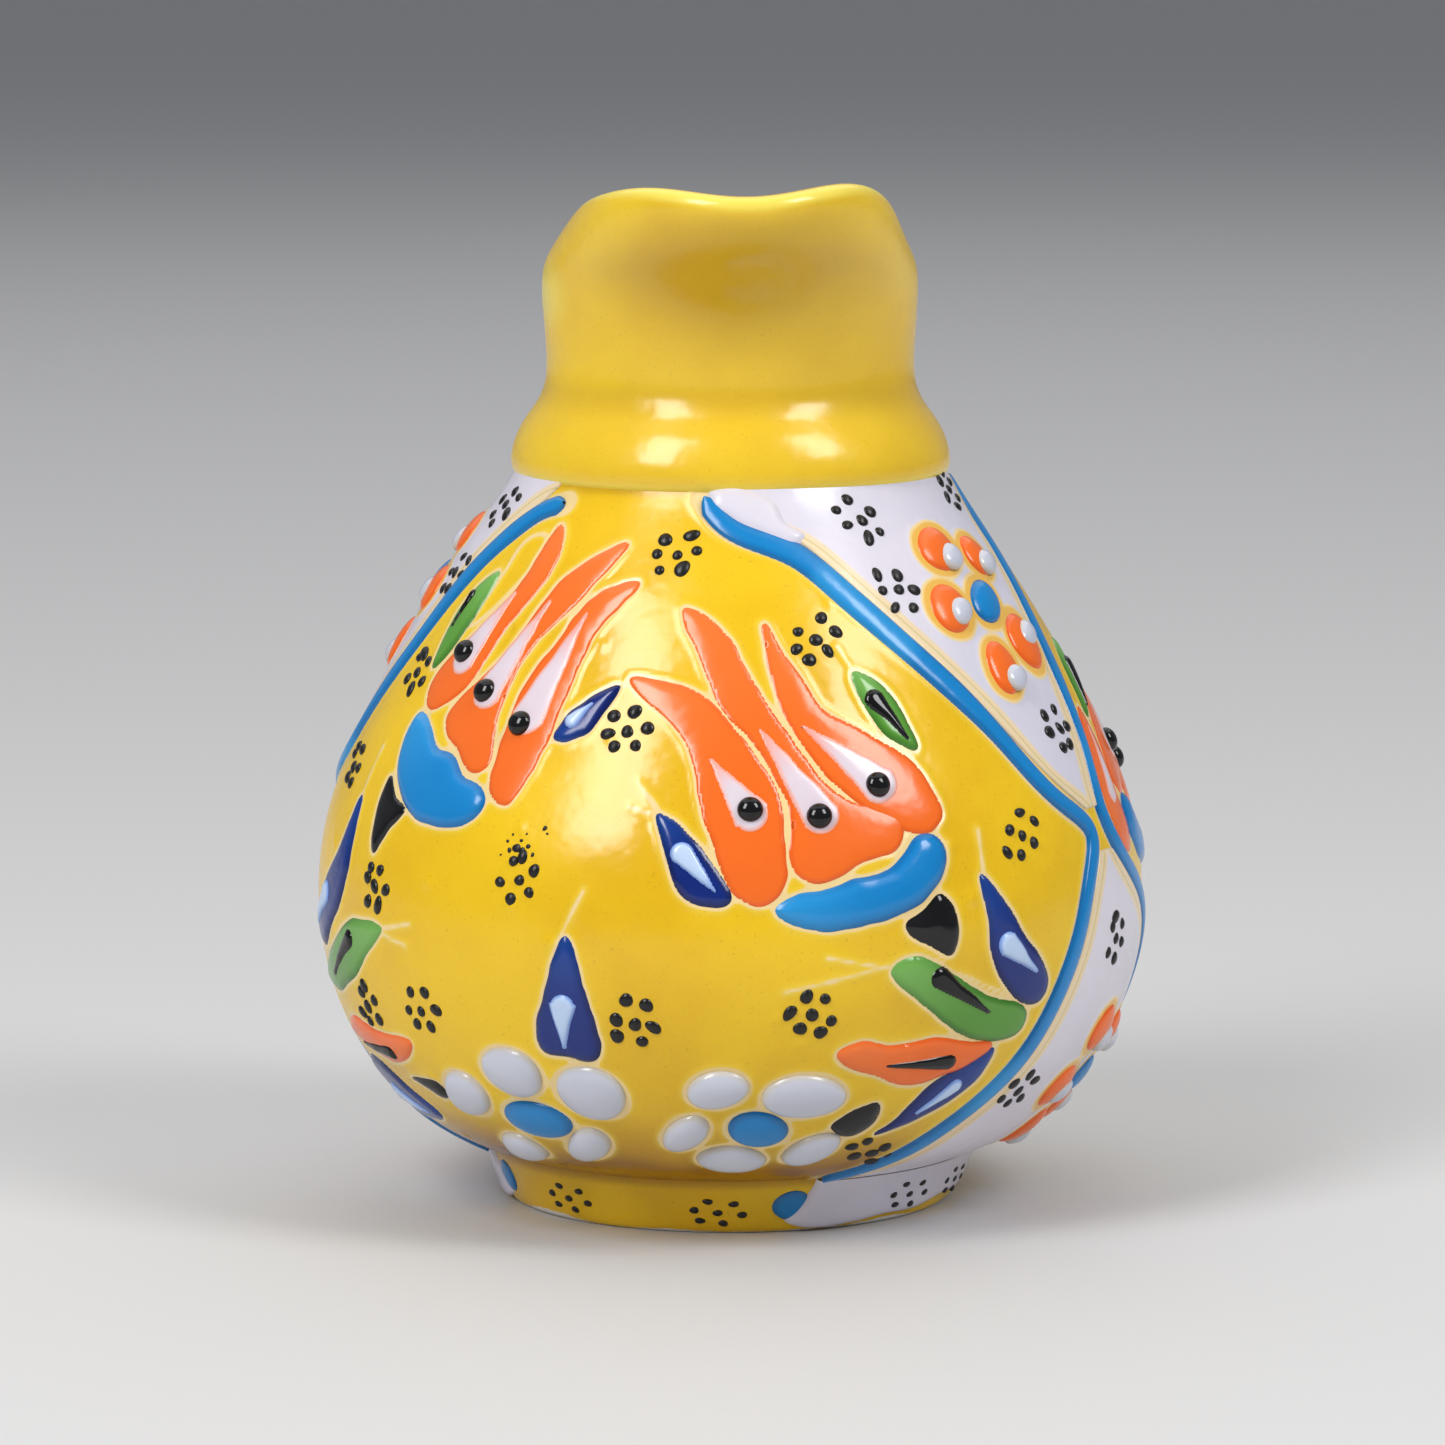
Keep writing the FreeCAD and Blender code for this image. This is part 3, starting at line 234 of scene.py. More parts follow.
# Flower of the white grounds, drawn from FIELD_AXIS: petals, then the bead that lies on each.
FLOWER_CENTRE = (-3.5, 77.1, 3.2, 2.6, 40.0)
FLOWER_PETALS = [
    (-6.7, 84.4, 3.4, 2.8, 20.0), (0.3, 82.8, 2.7, 2.6, -40.0), (-10.5, 76.9, 3.1, 3.1, 0.0),
    (0.5, 71.5, 3.1, 3.8, 0.0), (-6.9, 68.9, 2.7, 3.4, -20.0),
]
FLOWER_BEADS = [(-5.7, 83.1), (1.1, 81.7), (-9.6, 76.3), (1.4, 72.2), (-6.0, 67.4)]
BEAD = (2.0, 1.6, 0.9)
BEAD_TILT = 20.0
FLOWER_PETAL_HEIGHT = 0.9
FLOWER_BEAD_BASE = 0.6
LOW_FLOWER_SHIFT = (11.0, -60.6)

# Centres (across, rise) of the clusters of seven dots, with the tilt of each cluster.
DOT_CLUSTER = [(0.0, 0.0), (-0.9, 2.4), (1.5, 1.9), (-2.2, 0.5), (2.3, -0.4), (-1.7, -1.7),
               (0.5, -2.2)]
FRONT_CLUSTERS = [
    ((7.3, 85.4), 20.0), ((-28.1, 67.4), -15.0), ((-39.4, 54.6), 5.0), ((-26.4, 41.9), 10.0),
    ((-3.4, 45.4), -30.0), ((6.9, 63.2), 25.0), ((25.8, 74.2), 40.0), ((57.9, 49.2), -10.0),
    ((10.7, 29.7), 0.0), ((31.0, 30.8), 60.0), ((-18.2, 28.6), 15.0), ((-29.9, 27.4), -20.0),
    ((33.4, 9.4), 30.0),
]
BACK_CLUSTERS = [
    ((-2.0, 86.0), 10.0), ((-29.1, 85.0), -20.0), ((-27.2, 52.0), 35.0), ((-3.8, 74.0), -10.0),
    ((10.6, 84.0), 25.0), ((12.8, 52.0), -35.0), ((25.0, 44.0), 15.0), ((-8.4, 33.0), 50.0),
    ((16.8, 33.0), 0.0), ((-23.4, 31.0), -25.0), ((63.5, 56.0), 20.0),
]
FIELD_CLUSTERS = [((-15.2, 89.2), 30.0), ((-16.6, 79.6), 10.0), ((5.0, 91.4), -25.0),
                  ((-1.5, 60.4), 15.0), ((1.4, 35.2), -10.0), ((-10.0, 17.8), 35.0)]

# Centre lines of the blue borders as (turn, rise), from the collar to the foot.
FRONT_RIGHT_BORDER = [(-10.5, 92.6), (-5.5, 89.4), (2.0, 87.2), (11.0, 84.8), (18.3, 80.4),
                      (27.0, 74.2), (42.0, 61.4), (52.0, 51.8), (57.0, 47.8), (54.8, 43.6),
                      (51.3, 37.4), (47.4, 30.0), (43.6, 23.4), (38.6, 17.4), (32.4, 11.6),
                      (24.5, 5.6), (17.0, 0.8)]
FRONT_LEFT_BORDER = [(-49.5, 91.0), (-56.0, 89.9), (-63.0, 87.0), (-68.5, 83.2), (-74.0, 77.6),
                     (-79.5, 70.0), (-86.0, 61.4), (-95.0, 53.4), (-104.5, 47.8), (-103.5, 42.6),
                     (-101.5, 35.4), (-98.5, 27.0), (-95.0, 19.0), (-90.0, 12.0), (-83.0, 5.4),
                     (-76.5, 0.8)]
BACK_LEFT_BORDER = [(92.0, 92.4), (85.0, 89.8), (79.8, 86.0), (75.4, 80.6), (71.6, 74.0),
                    (67.6, 65.6), (64.2, 57.0), (62.3, 50.0), (66.0, 44.8), (72.0, 40.8),
                    (77.6, 36.6), (82.0, 31.0), (85.4, 24.0), (88.0, 16.0), (89.8, 8.0),
                    (91.0, 0.8)]

# White grounds: the rises of their rows, and the turns of their edges, a little inside the
# borders. The left field's back edges are the right field's, mirrored.
UPPER_RISES = [94.3, 90.0, 87.2, 81.4, 75.6, 63.0, 53.8, 50.6]
UPPER_RIGHT_FRONT = [-6.5, 3.5, 12.5, 21.6, 29.6, 44.0, 53.6, 58.6]
UPPER_LEFT_FRONT = [-55.0, -61.5, -67.0, -74.0, -79.4, -88.6, -98.6, -106.6]
UPPER_BACK = [90.0, 80.4, 75.6, 73.0, 70.0, 64.4, 61.2, 59.9]
LOWER_RISES = [45.8, 42.4, 36.6, 30.0, 23.4, 17.4, 11.6, 5.6, 1.2]
LOWER_RIGHT_FRONT = [59.3, 56.8, 53.6, 50.0, 46.2, 41.4, 35.6, 28.0, 21.6]
LOWER_LEFT_FRONT = [-107.4, -106.2, -104.6, -102.2, -99.6, -96.8, -92.6, -86.4, -80.6]
LOWER_BACK = [61.4, 66.2, 75.0, 80.4, 83.6, 85.6, 87.0, 88.2, 88.8]
RIGHT_FOOT_GLAZE = (16.0, 88.0)
LEFT_FOOT_GLAZE = (-81.0, -136.0)

# Strokes of cream slip that lie beside the motifs, drawn from PANEL_AXIS: (tail, head, radius).
CREAM_HAIRS = [
    ((5.0, 44.6), (2.6, 39.6), 0.2), ((51.0, 50.6), (52.2, 45.6), 0.25),
    ((-19.0, 38.8), (-24.6, 37.6), 0.3), ((-20.0, 36.2), (-25.2, 37.0), 0.2),
    ((-30.6, 58.0), (-32.8, 52.2), 0.2), ((28.0, 33.6), (40.4, 36.2), 0.2),
    ((33.0, 37.4), (41.2, 35.6), 0.25), ((9.4, 57.4), (12.6, 53.8), 0.4),
    ((9.0, 54.4), (12.4, 53.4), 0.3), ((28.6, 73.4), (31.2, 70.4), 0.2),
    ((49.0, 34.6), (55.6, 31.4), 0.2), ((-2.6, 62.2), (-5.0, 61.0), 0.2),
]
# Yellow cell between the left border and the first petal, edged with cream slip.
CREAM_CELL = [(-10.6, 86.5), (-12.6, 86.4), (-14.2, 85.0), (-15.3, 82.2), (-18.7, 74.4),
              (-15.3, 77.2), (-13.1, 79.7), (-11.4, 82.5)]
# White glaze that has pooled over the top of the right border, as (turn, rise).
POOLED_GLAZE = [(-8.8, 93.2), (-8.8, 91.7), (-5.0, 90.2), (-1.0, 88.9), (3.0, 87.8), (7.0, 86.9),
                (11.0, 86.3), (13.5, 87.4), (10.0, 89.2), (8.0, 91.6), (3.0, 93.2),
                (-3.0, 94.0)]
# Loose specks of black beside one cluster, drawn from PANEL_AXIS: (across, rise, radius).
SMUDGE = [(-3.9, 48.9, 0.55), (-3.1, 48.5, 0.5), (-4.8, 48.6, 0.3), (-2.4, 49.2, 0.3),
          (-3.4, 49.8, 0.22), (-5.2, 49.6, 0.2), (-4.6, 50.4, 0.16), (-1.7, 48.3, 0.25),
          (-2.8, 50.6, 0.14), (-0.6, 51.4, 0.3), (-0.2, 50.8, 0.16), (-5.9, 48.0, 0.14)]
# Clusters on the side of the foot, as (turn, rise along its profile, height of what they lie on).
FOOT_CLUSTERS = [(-47.0, 3.9, 0.02), (-7.0, 3.6, 0.02), (44.0, 4.4, 0.6), (66.0, 4.4, 0.6),
                 (-112.0, 4.2, 0.02), (150.0, 4.0, 0.02)]
# Blue ends of the two front borders on the side of the foot, as (turn, rise along its profile).
FOOT_BLOBS = [(11.0, 4.4), (-74.5, 4.6)]
# Height of the step at the rim of an enamel mark that lies on the belly.
RIM = 0.06
# How far a white bead sinks into its petal.
BEAD_SINK = 0.1


# --- numbers ------------------------------------------------------------------------------------

def clamped_basis(count: int, along: Array) -> Array:
    """Weights of a clamped uniform cubic B-spline, by the recurrence of Cox and de Boor.

    Args:
        count: number of control points.
        along: parameters from 0 to 1.

    Returns:
        One row of weights for each parameter, one column for each control point.
    """
    knots = np.concatenate([np.zeros(3), np.linspace(0.0, 1.0, count - 2), np.ones(3)])
    place = np.clip(along, 0.0, 1.0 - 1e-9)[:, None]
    weights = ((knots[:-1] <= place) & (place < knots[1:])).astype(float)
    for degree in range(1, 4):
        rising = knots[degree:-1] - knots[:-degree - 1]
        falling = knots[degree + 1:] - knots[1:-degree]
        weights = ((place - knots[:-degree - 1]) / np.maximum(rising, 1e-12) * weights[:, :-1]
                   + (knots[degree + 1:] - place) / np.maximum(falling, 1e-12) * weights[:, 1:])
    return weights


def smooth_path(points: Array, count: int, closed: bool) -> Array:
    """Cubic spline through points, with chord lengths as its parameter.

    The second derivatives solve the usual three-term equations, cyclic when the path is closed
    and zero at the ends when it is open.

    Args:
        points: the points to pass through, one row each.
        count: number of samples.
        closed: whether the last point joins the first.

    Returns:
        The samples, evenly spaced in the parameter.
    """
    nodes = np.vstack([points, points[:1]]) if closed else points
    chord = np.linalg.norm(np.diff(nodes, axis=0), axis=1)
    slope = np.diff(nodes, axis=0) / chord[:, None]
    size = len(points)
    if closed:
        before = np.roll(chord, 1)
        matrix = (np.diag(2 * (before + chord)) + chord[:, None] * np.roll(np.eye(size), 1, 1)
                  + before[:, None] * np.roll(np.eye(size), -1, 1))
        bend = np.linalg.solve(matrix, 6 * (slope - np.roll(slope, 1, 0)))
        bend = np.vstack([bend, bend[:1]])
    else:
        matrix = np.eye(size)
        inner = np.arange(1, size - 1)
        matrix[inner, inner] = 2 * (chord[:-1] + chord[1:])
        matrix[inner, inner - 1] = chord[:-1]
        matrix[inner, inner + 1] = chord[1:]
        right = np.zeros_like(nodes)
        right[1:-1] = 6 * np.diff(slope, axis=0)
        bend = np.linalg.solve(matrix, right)
    start = np.concatenate([[0.0], np.cumsum(chord)])
    place = np.linspace(0.0, start[-1], count, endpoint=not closed)
    span = np.clip(np.searchsorted(start, place, side="right") - 1, 0, len(chord) - 1)
    step = (place - start[span])[:, None]
    width = chord[span][:, None]
    first = bend[span]
    last = bend[span + 1]
    return (nodes[span] + step * (slope[span] - width * (2 * first + last) / 6)
            + step ** 2 * first / 2 + step ** 3 * (last - first) / (6 * width))


RIPPLE_WAVES = 5
RIPPLE_SCALE = 3.0


def ripple(across: Array, along: Array, wavelength: float, seed: int) -> Array:
    """Smooth hand-made unevenness between about -1 and 1: a sum of sines in fixed directions.

    Args:
        across: first coordinate of each place.
        along: second coordinate of each place.
        wavelength: middle length of the waves.
        seed: what the waves' directions, phases and lengths are drawn from.

    Returns:
        One number for each place.
    """
    random = np.random.default_rng(seed)
    total = np.zeros(np.broadcast(across, along).shape)
    for _ in range(RIPPLE_WAVES):
        heading, phase, stretch = random.uniform([0.0, 0.0, 0.7], [math.pi, 2 * math.pi, 1.5])
        wave = 2 * math.pi / (wavelength * stretch)
        total += np.sin(wave * (across * math.cos(heading) + along * math.sin(heading)) + phase)
    return total / RIPPLE_SCALE


def ease(value: Array, low: float, high: float) -> Array:
    """Smooth step from 0 at low to 1 at high."""
    share = np.clip((value - low) / (high - low), 0.0, 1.0)
    return share * share * (3 - 2 * share)


def grid_quads(rows: int, columns: int, wrapped: bool = False) -> Array:
    """Faces between the points of a grid.

    Args:
        rows: rows of points.
        columns: points in each row.
        wrapped: whether the last column joins the first.

    Returns:
        Corner numbers, four in a row for each face.
    """
    row, column = np.meshgrid(np.arange(rows - 1), np.arange(columns - (not wrapped)),
                              indexing="ij")
    beside = (column + 1) % columns
    corners = [row * columns + column, row * columns + beside,
               (row + 1) * columns + beside, (row + 1) * columns + column]
    return np.stack(corners, axis=-1).reshape(-1, 4)


# --- the vessel's surfaces ----------------------------------------------------------------------

class Profile:
    """Outer profile of a turned section, measured by the length along it."""

    SAMPLES = 4001
    WOBBLE = 0.1
    WOBBLE_LENGTH = 34.0
    WOBBLE_SEED = 5
    WOBBLE_FADE = 5.0

    def __init__(self, poles: list[Point]) -> None:
        """Tabulate the B-spline of the control points against its own length."""
        curve = clamped_basis(len(poles), np.linspace(0.0, 1.0, self.SAMPLES)) @ np.array(poles)
        steps = np.hypot(*np.diff(curve, axis=0).T)
        self.rises = np.concatenate([[0.0], np.cumsum(steps)])
        self.curve = curve
        tangent = np.gradient(curve, self.rises, axis=0)
        self.normal = np.stack([tangent[:, 1], -tangent[:, 0]], axis=1)
        self.length = float(self.rises[-1])

    def radius(self, rise: Array | float) -> Array:
        """Radius at a length along the profile."""
        return np.interp(rise, self.rises, self.curve[:, 0])

    def points(self, turn: Array, rise: Array, lift: Array | float = 0.0) -> Array:
        """Points above the surface: place on the profile plus lift along its normal.

        Args:
            turn: degrees round +Z from the pouring lip.
            rise: length along the profile.
            lift: height above the surface.

        Returns:
            Array of points in millimetres, one row each.
        """
        turn, rise, lift = (part.ravel() for part in np.broadcast_arrays(turn, rise, lift))
        angle = np.radians(turn)
        radius = self.radius(rise)
        unevenness = self.WOBBLE * ripple(radius * np.sin(angle), rise + radius * np.cos(angle),
                                          self.WOBBLE_LENGTH, self.WOBBLE_SEED)
        fade = np.clip(np.minimum(rise, self.length - rise) / self.WOBBLE_FADE, 0.0, 1.0)
        height = lift + unevenness * fade
        reach = radius + height * np.interp(rise, self.rises, self.normal[:, 0])
        level = (np.interp(rise, self.rises, self.curve[:, 1])
                 + height * np.interp(rise, self.rises, self.normal[:, 1]))
        return np.stack([reach * np.sin(angle), -reach * np.cos(angle), level], axis=1)


BELLY = Profile(BELLY_PROFILE)
FOOT = Profile(FOOT_PROFILE)


@dataclass(frozen=True)
class Place:
    """Where a flat drawing lies on the belly: its axis, a mirror turn if it is a copy, a shift."""

    axis: float
    mirror: float | None = None
    across_shift: float = 0.0
    rise_shift: float = 0.0

    def swap(self, turn: Array | float) -> Array | float:
        """A drawn turn as a real one, or a real turn as a drawn one."""
        return turn if self.mirror is None else self.mirror - turn

    def drawn(self, across: Array | float, rise: Array | float) -> tuple[Array, Array]:
        """Drawn turn and rise of a flat (across, rise)."""
        height = np.asarray(rise, float) + self.rise_shift
        reach = np.asarray(across, float) + self.across_shift
        return self.axis + np.degrees(reach / BELLY.radius(height)), height


class Mark:
    """One stroke or spot of enamel, with its own flat coordinates round its middle."""

    WAVER = 0.07
    WAVER_LENGTH = 3.4
    SPREAD = 0.12

    def __init__(self, place: Place, turn: float, rise: float, half: Point, seed: int) -> None:
        """Keep the middle (drawn turn and rise) and the half width and height of the mark."""
        self.place = place
        self.turn = float(turn)
        self.rise = float(rise)
        self.half = half
        self.seed = seed

    def local(self, turn: Array, rise: Array) -> tuple[Array, Array]:
        """Flat (across, up) coordinates, in millimetres along the belly, of real places."""
        offset = (self.place.swap(turn) - self.turn + 180.0) % 360.0 - 180.0
        return np.radians(offset) * BELLY.radius(rise), rise - self.rise

    def real(self, across: Array, up: Array) -> tuple[Array, Array]:
        """Real places of flat coordinates."""
        rise = up + self.rise
        return self.place.swap(self.turn + np.degrees(across / BELLY.radius(rise))), rise

    def edge(self, across: Array, up: Array) -> Array:
        """Signed distance of flat coordinates to the drawn edge, negative inside."""
        raise NotImplementedError

    def tipward(self, across: Array, up: Array) -> Array:
        """How near flat coordinates are to the mark's tip, 1 at the tip."""
        raise NotImplementedError

    def distance(self, across: Array, up: Array) -> Array:
        """Signed distance to the mark's edge, with the waver of a hand-trailed line."""
        waver = self.WAVER * ripple(across, up, self.WAVER_LENGTH, self.seed)
        return self.edge(across, up) + waver - self.SPREAD


class Outline(Mark):
    """Mark with a smooth closed outline through a few points. Its first point is its tip."""

    EDGES = 150

    def __init__(self, place: Place, outline: list[Point], seed: int) -> None:
        """Lay the outline's points in the flat coordinates round their middle."""
        turn, rise = place.drawn(*np.array(outline, float).T)
        middle = (float(turn.min() + turn.max()) / 2, float(rise.min() + rise.max()) / 2)
        super().__init__(place, *middle, (0.0, 0.0), seed)
        flat = np.stack([np.radians(turn - self.turn) * BELLY.radius(rise), rise - self.rise],
                        axis=1)
        self.path = smooth_path(flat, self.EDGES, True)
        self.half = tuple(np.abs(self.path).max(axis=0))
        self.tip = flat[0]
        self.span = float(np.linalg.norm(self.path - self.tip, axis=1).max())

    def edge(self, across: Array, up: Array) -> Array:
        """Signed distance to the nearest edge of the outline, negative inside.

        A point is inside when a level line from it crosses the outline an odd number of times.

        Args:
            across: first flat coordinate of each point.
            up: second flat coordinate of each point.

        Returns:
            One distance for each point.
        """
        spot = np.stack([across.ravel(), up.ravel()], axis=1)[:, None, :]
        start = self.path[None]
        along = np.roll(self.path, -1, axis=0)[None] - start
        share = np.clip(((spot - start) * along).sum(-1) / (along ** 2).sum(-1), 0.0, 1.0)
        gap = np.linalg.norm(spot - start - share[..., None] * along, axis=-1).min(axis=1)
        above = start[..., 1] > spot[..., 1]
        beyond = np.roll(self.path[:, 1], -1)[None] > spot[..., 1]
        rise = np.where(along[..., 1] == 0, TINY, along[..., 1])
        cross = start[..., 0] + (spot[..., 1] - start[..., 1]) / rise * along[..., 0]
        inside = ((above != beyond) & (cross > spot[..., 0])).sum(axis=1) % 2
        return np.where(inside == 1, -gap, gap).reshape(across.shape)

    def tipward(self, across: Array, up: Array) -> Array:
        """1 at the tip, falling to 0 at the far end of the mark."""
        return 1.0 - np.hypot(across - self.tip[0], up - self.tip[1]) / self.span


class Drop(Mark):
    """Mark shaped as a drop: a round head, and straight sides that run to a fine tail."""

    TAIL_RADIUS = 0.24
    SPREAD = -0.05

    def __init__(self, place: Place, tail: Point, head: Point, radius: float, seed: int) -> None:
        """Lay the tail and head in the flat coordinates round their middle."""
        turn, rise = place.drawn(*np.array([tail, head], float).T)
        super().__init__(place, turn.mean(), rise.mean(), (0.0, 0.0), seed)
        flat = np.stack([np.radians(turn - self.turn) * BELLY.radius(rise), rise - self.rise],
                        axis=1)
        self.tail, self.head = flat
        self.radius = radius
        self.half = tuple(np.abs(flat).max(axis=0) + radius)

    def edge(self, across: Array, up: Array) -> Array:
        """Signed distance to the hull of a small circle at the tail and a big one at the head.

        Both halves are alike, so the distance is worked out on one side of the axis.

        Args:
            across: first flat coordinate of each point.
            up: second flat coordinate of each point.

        Returns:
            One distance for each point, negative inside.
        """
        axis = self.head - self.tail
        length = float(np.linalg.norm(axis))
        axis = axis / length
        along = (across - self.tail[0]) * axis[0] + (up - self.tail[1]) * axis[1]
        aside = np.abs((up - self.tail[1]) * axis[0] - (across - self.tail[0]) * axis[1])
        lean = (self.TAIL_RADIUS - self.radius) / length
        upright = math.sqrt(max(1 - lean * lean, 1e-6))
        side = along * upright + aside * lean
        near_tail = np.hypot(along, aside) - self.TAIL_RADIUS
        near_head = np.hypot(along - length, aside) - self.radius
        flank = aside * upright + along * lean - self.TAIL_RADIUS
        return np.where(side < 0, near_tail, np.where(side > length * upright, near_head, flank))

    def tipward(self, across: Array, up: Array) -> Array:
        """1 at the tail, falling to 0 at the head."""
        axis = self.head - self.tail
        share = ((across - self.tail[0]) * axis[0] + (up - self.tail[1]) * axis[1])
        return 1.0 - np.clip(share / float(axis @ axis), 0.0, 1.0)


class Oval(Mark):
    """Mark shaped as a tilted oval."""

    def __init__(self, place: Place, spot: tuple[float, ...], seed: int) -> None:
        """Lay an oval given as (across, rise, half width, half height, tilt in degrees)."""
        across, rise, half_width, half_height, tilt = spot
        turn, height = place.drawn(across, rise)
        reach = max(half_width, half_height)
        super().__init__(place, turn, height, (reach, reach), seed)
        self.axes = (half_width, half_height)
        self.tilt = math.radians(tilt)

    def edge(self, across: Array, up: Array) -> Array:
        """Distance to the oval: its implicit equation's value over the size of its gradient."""
        wide = (across * math.cos(self.tilt) + up * math.sin(self.tilt)) / self.axes[0]
        tall = (up * math.cos(self.tilt) - across * math.sin(self.tilt)) / self.axes[1]
        level = np.hypot(wide, tall)
        steep = np.maximum(np.hypot(wide / self.axes[0], tall / self.axes[1]), 1e-6)
        return level * (level - 1.0) / steep


class Line:
    """Raised border line along a smooth path of (turn, rise) stations."""

    SAMPLES = 420
    SEARCH = 3.0

    def __init__(self, stations: list[Point], mirror: float | None = None) -> None:
        """Smooth the path in millimetres along the belly, as the part does."""
        reach = float(BELLY.radius(stations[len(stations) // 2][1]))
        flat = np.array([(math.radians(turn) * reach, rise) for turn, rise in stations])
        path = smooth_path(flat, self.SAMPLES, False)
        self.turn = np.degrees(path[:, 0] / reach)
        self.rise = path[:, 1]
        if mirror is not None:
            self.turn = mirror - self.turn
        across = np.gradient(np.radians(self.turn)) * BELLY.radius(self.rise)
        up = np.gradient(self.rise)
        size = np.hypot(across, up)
        self.heading = (across / size, up / size)

    def distance(self, turn: Array, rise: Array, reach: float) -> Array:
        """Distance from the line's edge to each place, or reach where it is further.

        Args:
            turn: degrees, one for each place.
            rise: lengths along the profile, one for each place.
            reach: greatest distance that matters.

        Returns:
            One distance for each place, measured only near the line.
        """
        order = np.argsort(self.rise)
        centre = np.interp(rise, self.rise[order], self.turn[order])
        offset = (turn - centre + 180.0) % 360.0 - 180.0
        found = np.full(turn.shape, reach)
        widest = self.SEARCH * (reach + BORDER_HALF_WIDTH)
        near = np.abs(np.radians(offset) * BELLY.radius(rise)) < widest
        radius = BELLY.radius(rise[near])[:, None]
        aside = np.radians((turn[near][:, None] - self.turn + 180.0) % 360.0 - 180.0) * radius
        gap = np.hypot(aside, rise[near][:, None] - self.rise).min(axis=1) - BORDER_HALF_WIDTH
        found[near] = np.minimum(gap, reach)
        return found


CROWDED_GAP = (0.9, 1.6)
LEAST_SLIP = 0.02


def slip_field(turn: Array, rise: Array, marks: list[Mark], reach: float,
               crowd: float = 0.0) -> Array:
    """Distance from each place to the nearest mark, or reach where all are further.

    Args:
        turn: degrees, one for each place.
        rise: lengths along the profile, one for each place.
        marks: the marks to look at.
        reach: greatest distance that matters.
        crowd: how much nearer the marks count where the gap between two of them is narrow.

    Returns:
        Signed distances, negative inside a mark.
    """
    nearest = np.full(turn.shape, reach)
    second = nearest.copy()
    for mark in marks:
        across, up = mark.local(turn, rise)
        close = ((np.abs(across) < mark.half[0] + reach) & (np.abs(up) < mark.half[1] + reach))
        if close.any():
            gap = mark.distance(across[close], up[close])
            second[close] = np.minimum(second[close], np.maximum(nearest[close], gap))
            nearest[close] = np.minimum(nearest[close], gap)
    between = 1 - ease(nearest + second, *CROWDED_GAP)
    return np.where(nearest > 0, np.maximum(nearest - crowd * between, LEAST_SLIP), nearest)


# --- meshes -------------------------------------------------------------------------------------

class Sheet:
    """Faces gathered from several surfaces, with numbers that belong to their points."""

    def __init__(self, *fields: str) -> None:
        """Start an empty sheet whose points carry the named numbers."""
        self.points: list[Array] = []
        self.quads: list[Array] = []
        self.fields: dict[str, list[Array]] = {name: [] for name in fields}
        self.size = 0

    def add(self, points: Array, quads: Array, **fields: Array | float) -> None:
        """Add a surface: its points in millimetres, its faces and its named numbers."""
        self.points.append(points)
        self.quads.append(quads + self.size)
        for name, values in self.fields.items():
            given = np.asarray(fields.get(name, 0.0), float).ravel()
            values.append(np.broadcast_to(given, (len(points),)))
        self.size += len(points)

    def mesh(self, name: str) -> bpy.types.Mesh:
        """Make the Blender mesh, in metres and smooth-shaded."""
        points = np.concatenate(self.points) * METRES
        quads = np.concatenate(self.quads)
        mesh = bpy.data.meshes.new(name)
        mesh.vertices.add(len(points))
        mesh.vertices.foreach_set("co", points.astype(np.float32).ravel())
        mesh.loops.add(quads.size)
        mesh.loops.foreach_set("vertex_index", quads.astype(np.int32).ravel())
        mesh.polygons.add(len(quads))
        mesh.polygons.foreach_set("loop_start", np.arange(0, quads.size, 4, dtype=np.int32))
        mesh.polygons.foreach_set("use_smooth", np.ones(len(quads), dtype=bool))
        for label, values in self.fields.items():
            layer = mesh.attributes.new(label, "FLOAT", "POINT")
            layer.data.foreach_set("value", np.concatenate(values).astype(np.float32))
        mesh.update(calc_edges=True)
        mesh.validate()
        return mesh


@dataclass(frozen=True)
class Relief:
    """How thick a mark stands: where it starts, how high it is and how wide its shoulder is."""

    base: float
    height: float
    shoulder: float = 1.1
    spacing: float = 0.34
    skirt: float = 0.3

    CROWN_SHARE = 0.2
    CROWN_REACH = 3.5

    def lift(self, gap: Array) -> Array:
        """Height above the belly at a signed distance from the edge.

        Inside, a parabola rises over the shoulder and a slight crown over the middle;
        outside, the skirt runs down below what the mark lies on.
        """
        depth = np.clip(-gap / self.shoulder, 0.0, 1.0)
        crown = ((1 - self.CROWN_SHARE) * depth * (2 - depth)
                 + self.CROWN_SHARE * ease(-gap, 0.0, self.CROWN_REACH))
        sunk = -(self.base + self.skirt) * np.clip(gap / self.skirt, 0.0, 1.0)
        return np.where(gap < 0, self.base + self.height * crown, self.base + sunk)


LEAST_SLOPE = 0.3
SNAP_SHARE = 0.55
KEPT_GAP = 0.02


